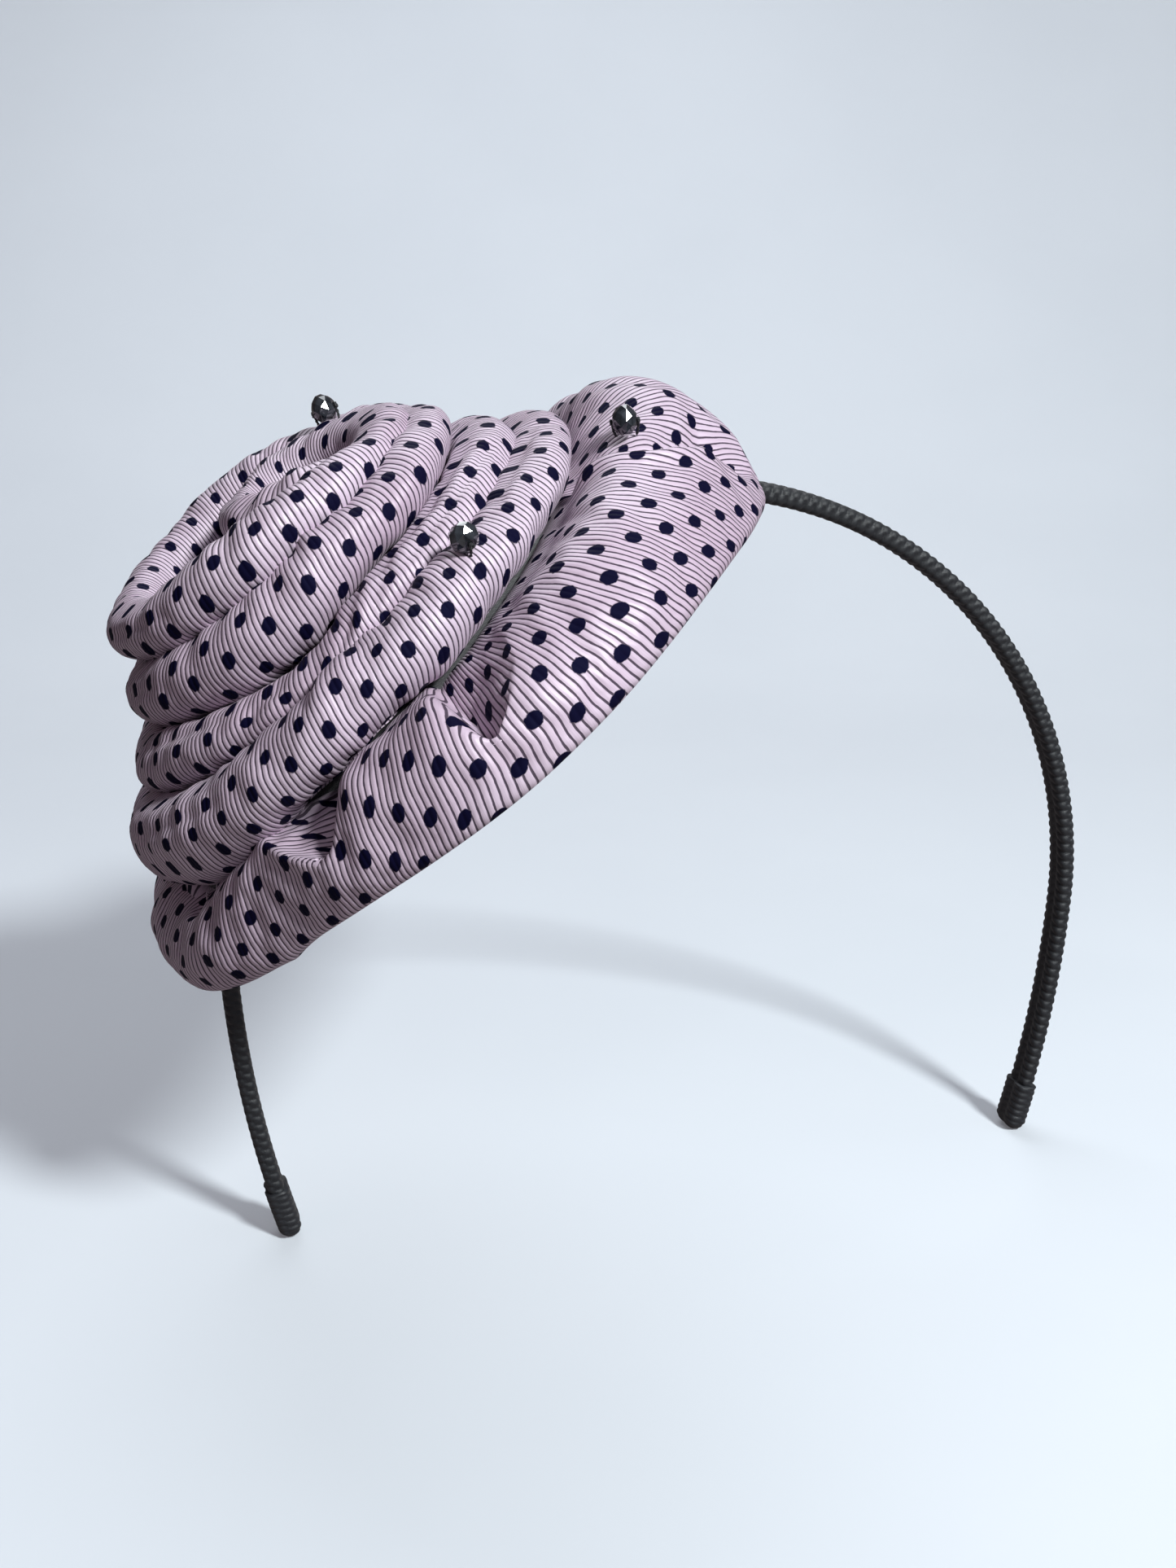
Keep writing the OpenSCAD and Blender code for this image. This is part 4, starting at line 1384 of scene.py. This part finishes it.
def make_beads():
    depsgraph = bpy.context.evaluated_depsgraph_get()
    bpy.context.view_layer.update()
    trees = [BVHTree.FromObject(ob, depsgraph) for ob in (neck, tail, blade)]
    beads, threads = [], []
    for number, centre in enumerate(cluster_centres("glass_beads", 0.012)):
        centre, up = seat_bead(Vector(centre), trees)
        across = Vector((1.0, 0.2, 0.4) if number == 1 else (0.3, 1.0, 0.2))
        hole = up.cross(across).normalized()
        side = up.cross(hole)
        beads.append(make_bead(centre, hole, up, side))
        threads += make_bead_threads(centre, hole, up, side)
    return join(beads, "glass_beads"), join(threads, "bead_threads")


glass_beads, bead_threads = make_beads()
place_piece(glass_beads, "smoky_glass", "glass_beads")
place_piece(bead_threads, "black_thread", "bead_threads")

# ---------------------------------------------------------------- CAD pieces that stay
for node, key in (("base_plate", "buckram"), ("edge_wire", "wire"), ("wire_joiner", "brass"),
                  ("band_core_crown", "steel"), ("band_core_left", "steel"),
                  ("band_core_right", "steel")):
    paint(frame["nodes"][node], key)


# ---------------------------------------------------------------- stage
def make_floor():
    """Floor that runs back and curves up into a backdrop, square to the camera."""
    bend_start, bend = 0.30, 0.55
    profile = [(-2.0, 0.0), (-0.5, 0.0), (0.25, 0.0)]
    for t in np.linspace(0, math.pi / 2, 24):
        profile.append((bend_start + bend * math.sin(t), bend * (1 - math.cos(t))))
    profile.append((bend_start + bend, 3.0))
    profile = np.array(profile)
    width = np.linspace(-3.0, 3.0, 40)
    points = np.zeros((len(width), len(profile), 3))
    points[..., 0] = width[:, None]
    points[..., 1] = profile[:, 0]
    points[..., 2] = profile[:, 1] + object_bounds()[0].z - 0.0002
    turn = Matrix.Rotation(math.radians(-VIEW_YAW), 3, "Z")
    ob = grid_mesh("floor", points @ np.array(turn).T)
    ob.data.materials.append(floor_material("pale_floor"))


def make_world():
    """Pale blue surroundings, brighter towards +x and the front."""
    surroundings = bpy.data.worlds.new("w")
    bpy.context.scene.world = surroundings
    surroundings.use_nodes = True
    tree = surroundings.node_tree
    graph = Graph(tree, tree.nodes["Background"])
    x, y, _ = graph.split(graph.coordinates("Generated"))
    strength = graph.ramp(x - y * 0.6, low=-1.0, high=1.1, start=0.035, end=0.32)
    graph.set({"Color": (0.78, 0.86, 1.0, 1), "Strength": strength})


def area_light(name, location, size, power, colour):
    light = bpy.data.lights.new(name, "AREA")
    light.energy = power
    light.size = size
    light.color = colour
    light.shape = "DISK"
    ob = add_object(name, light)
    ob.location = location
    ob.rotation_mode = "QUATERNION"
    aim = Vector((-0.04, 0, 0.05)) - Vector(location)
    ob.rotation_quaternion = aim.to_track_quat("-Z", "Y")
    ob.visible_camera = False


def make_camera():
    yaw, pitch = math.radians(VIEW_YAW), math.radians(VIEW_PITCH)
    level = Vector((math.sin(yaw), math.cos(yaw), 0))
    forward = level * math.cos(pitch) - Vector((0, 0, math.sin(pitch)))
    up = level * math.sin(pitch) + Vector((0, 0, math.cos(pitch)))
    right = Vector((math.cos(yaw), -math.sin(yaw), 0))
    data = bpy.data.cameras.new("camera")
    data.sensor_width = 36.0
    data.sensor_fit = "AUTO"
    data.lens = 39.4
    data.shift_x = -0.041
    data.shift_y = 0.2055
    data.clip_start = 0.01
    camera = add_object("camera", data)
    camera.location = CAMERA_AT
    camera.rotation_mode = "QUATERNION"
    camera.rotation_quaternion = Matrix((right, up, -forward)).transposed().to_quaternion()
    bpy.context.scene.camera = camera


make_floor()
make_world()
area_light("key", KEY_AT, size=0.15, power=11.2, colour=(0.955, 1.0, 1.0))
area_light("fill", (-0.78, -0.34, 0.52), size=0.8, power=0.38, colour=(1.0, 0.60, 0.60))
area_light("back", (0.02, 0.50, 0.66), size=0.6, power=2.6, colour=(0.92, 0.96, 1.0))
make_camera()
bpy.context.scene.view_settings.view_transform = "Standard"
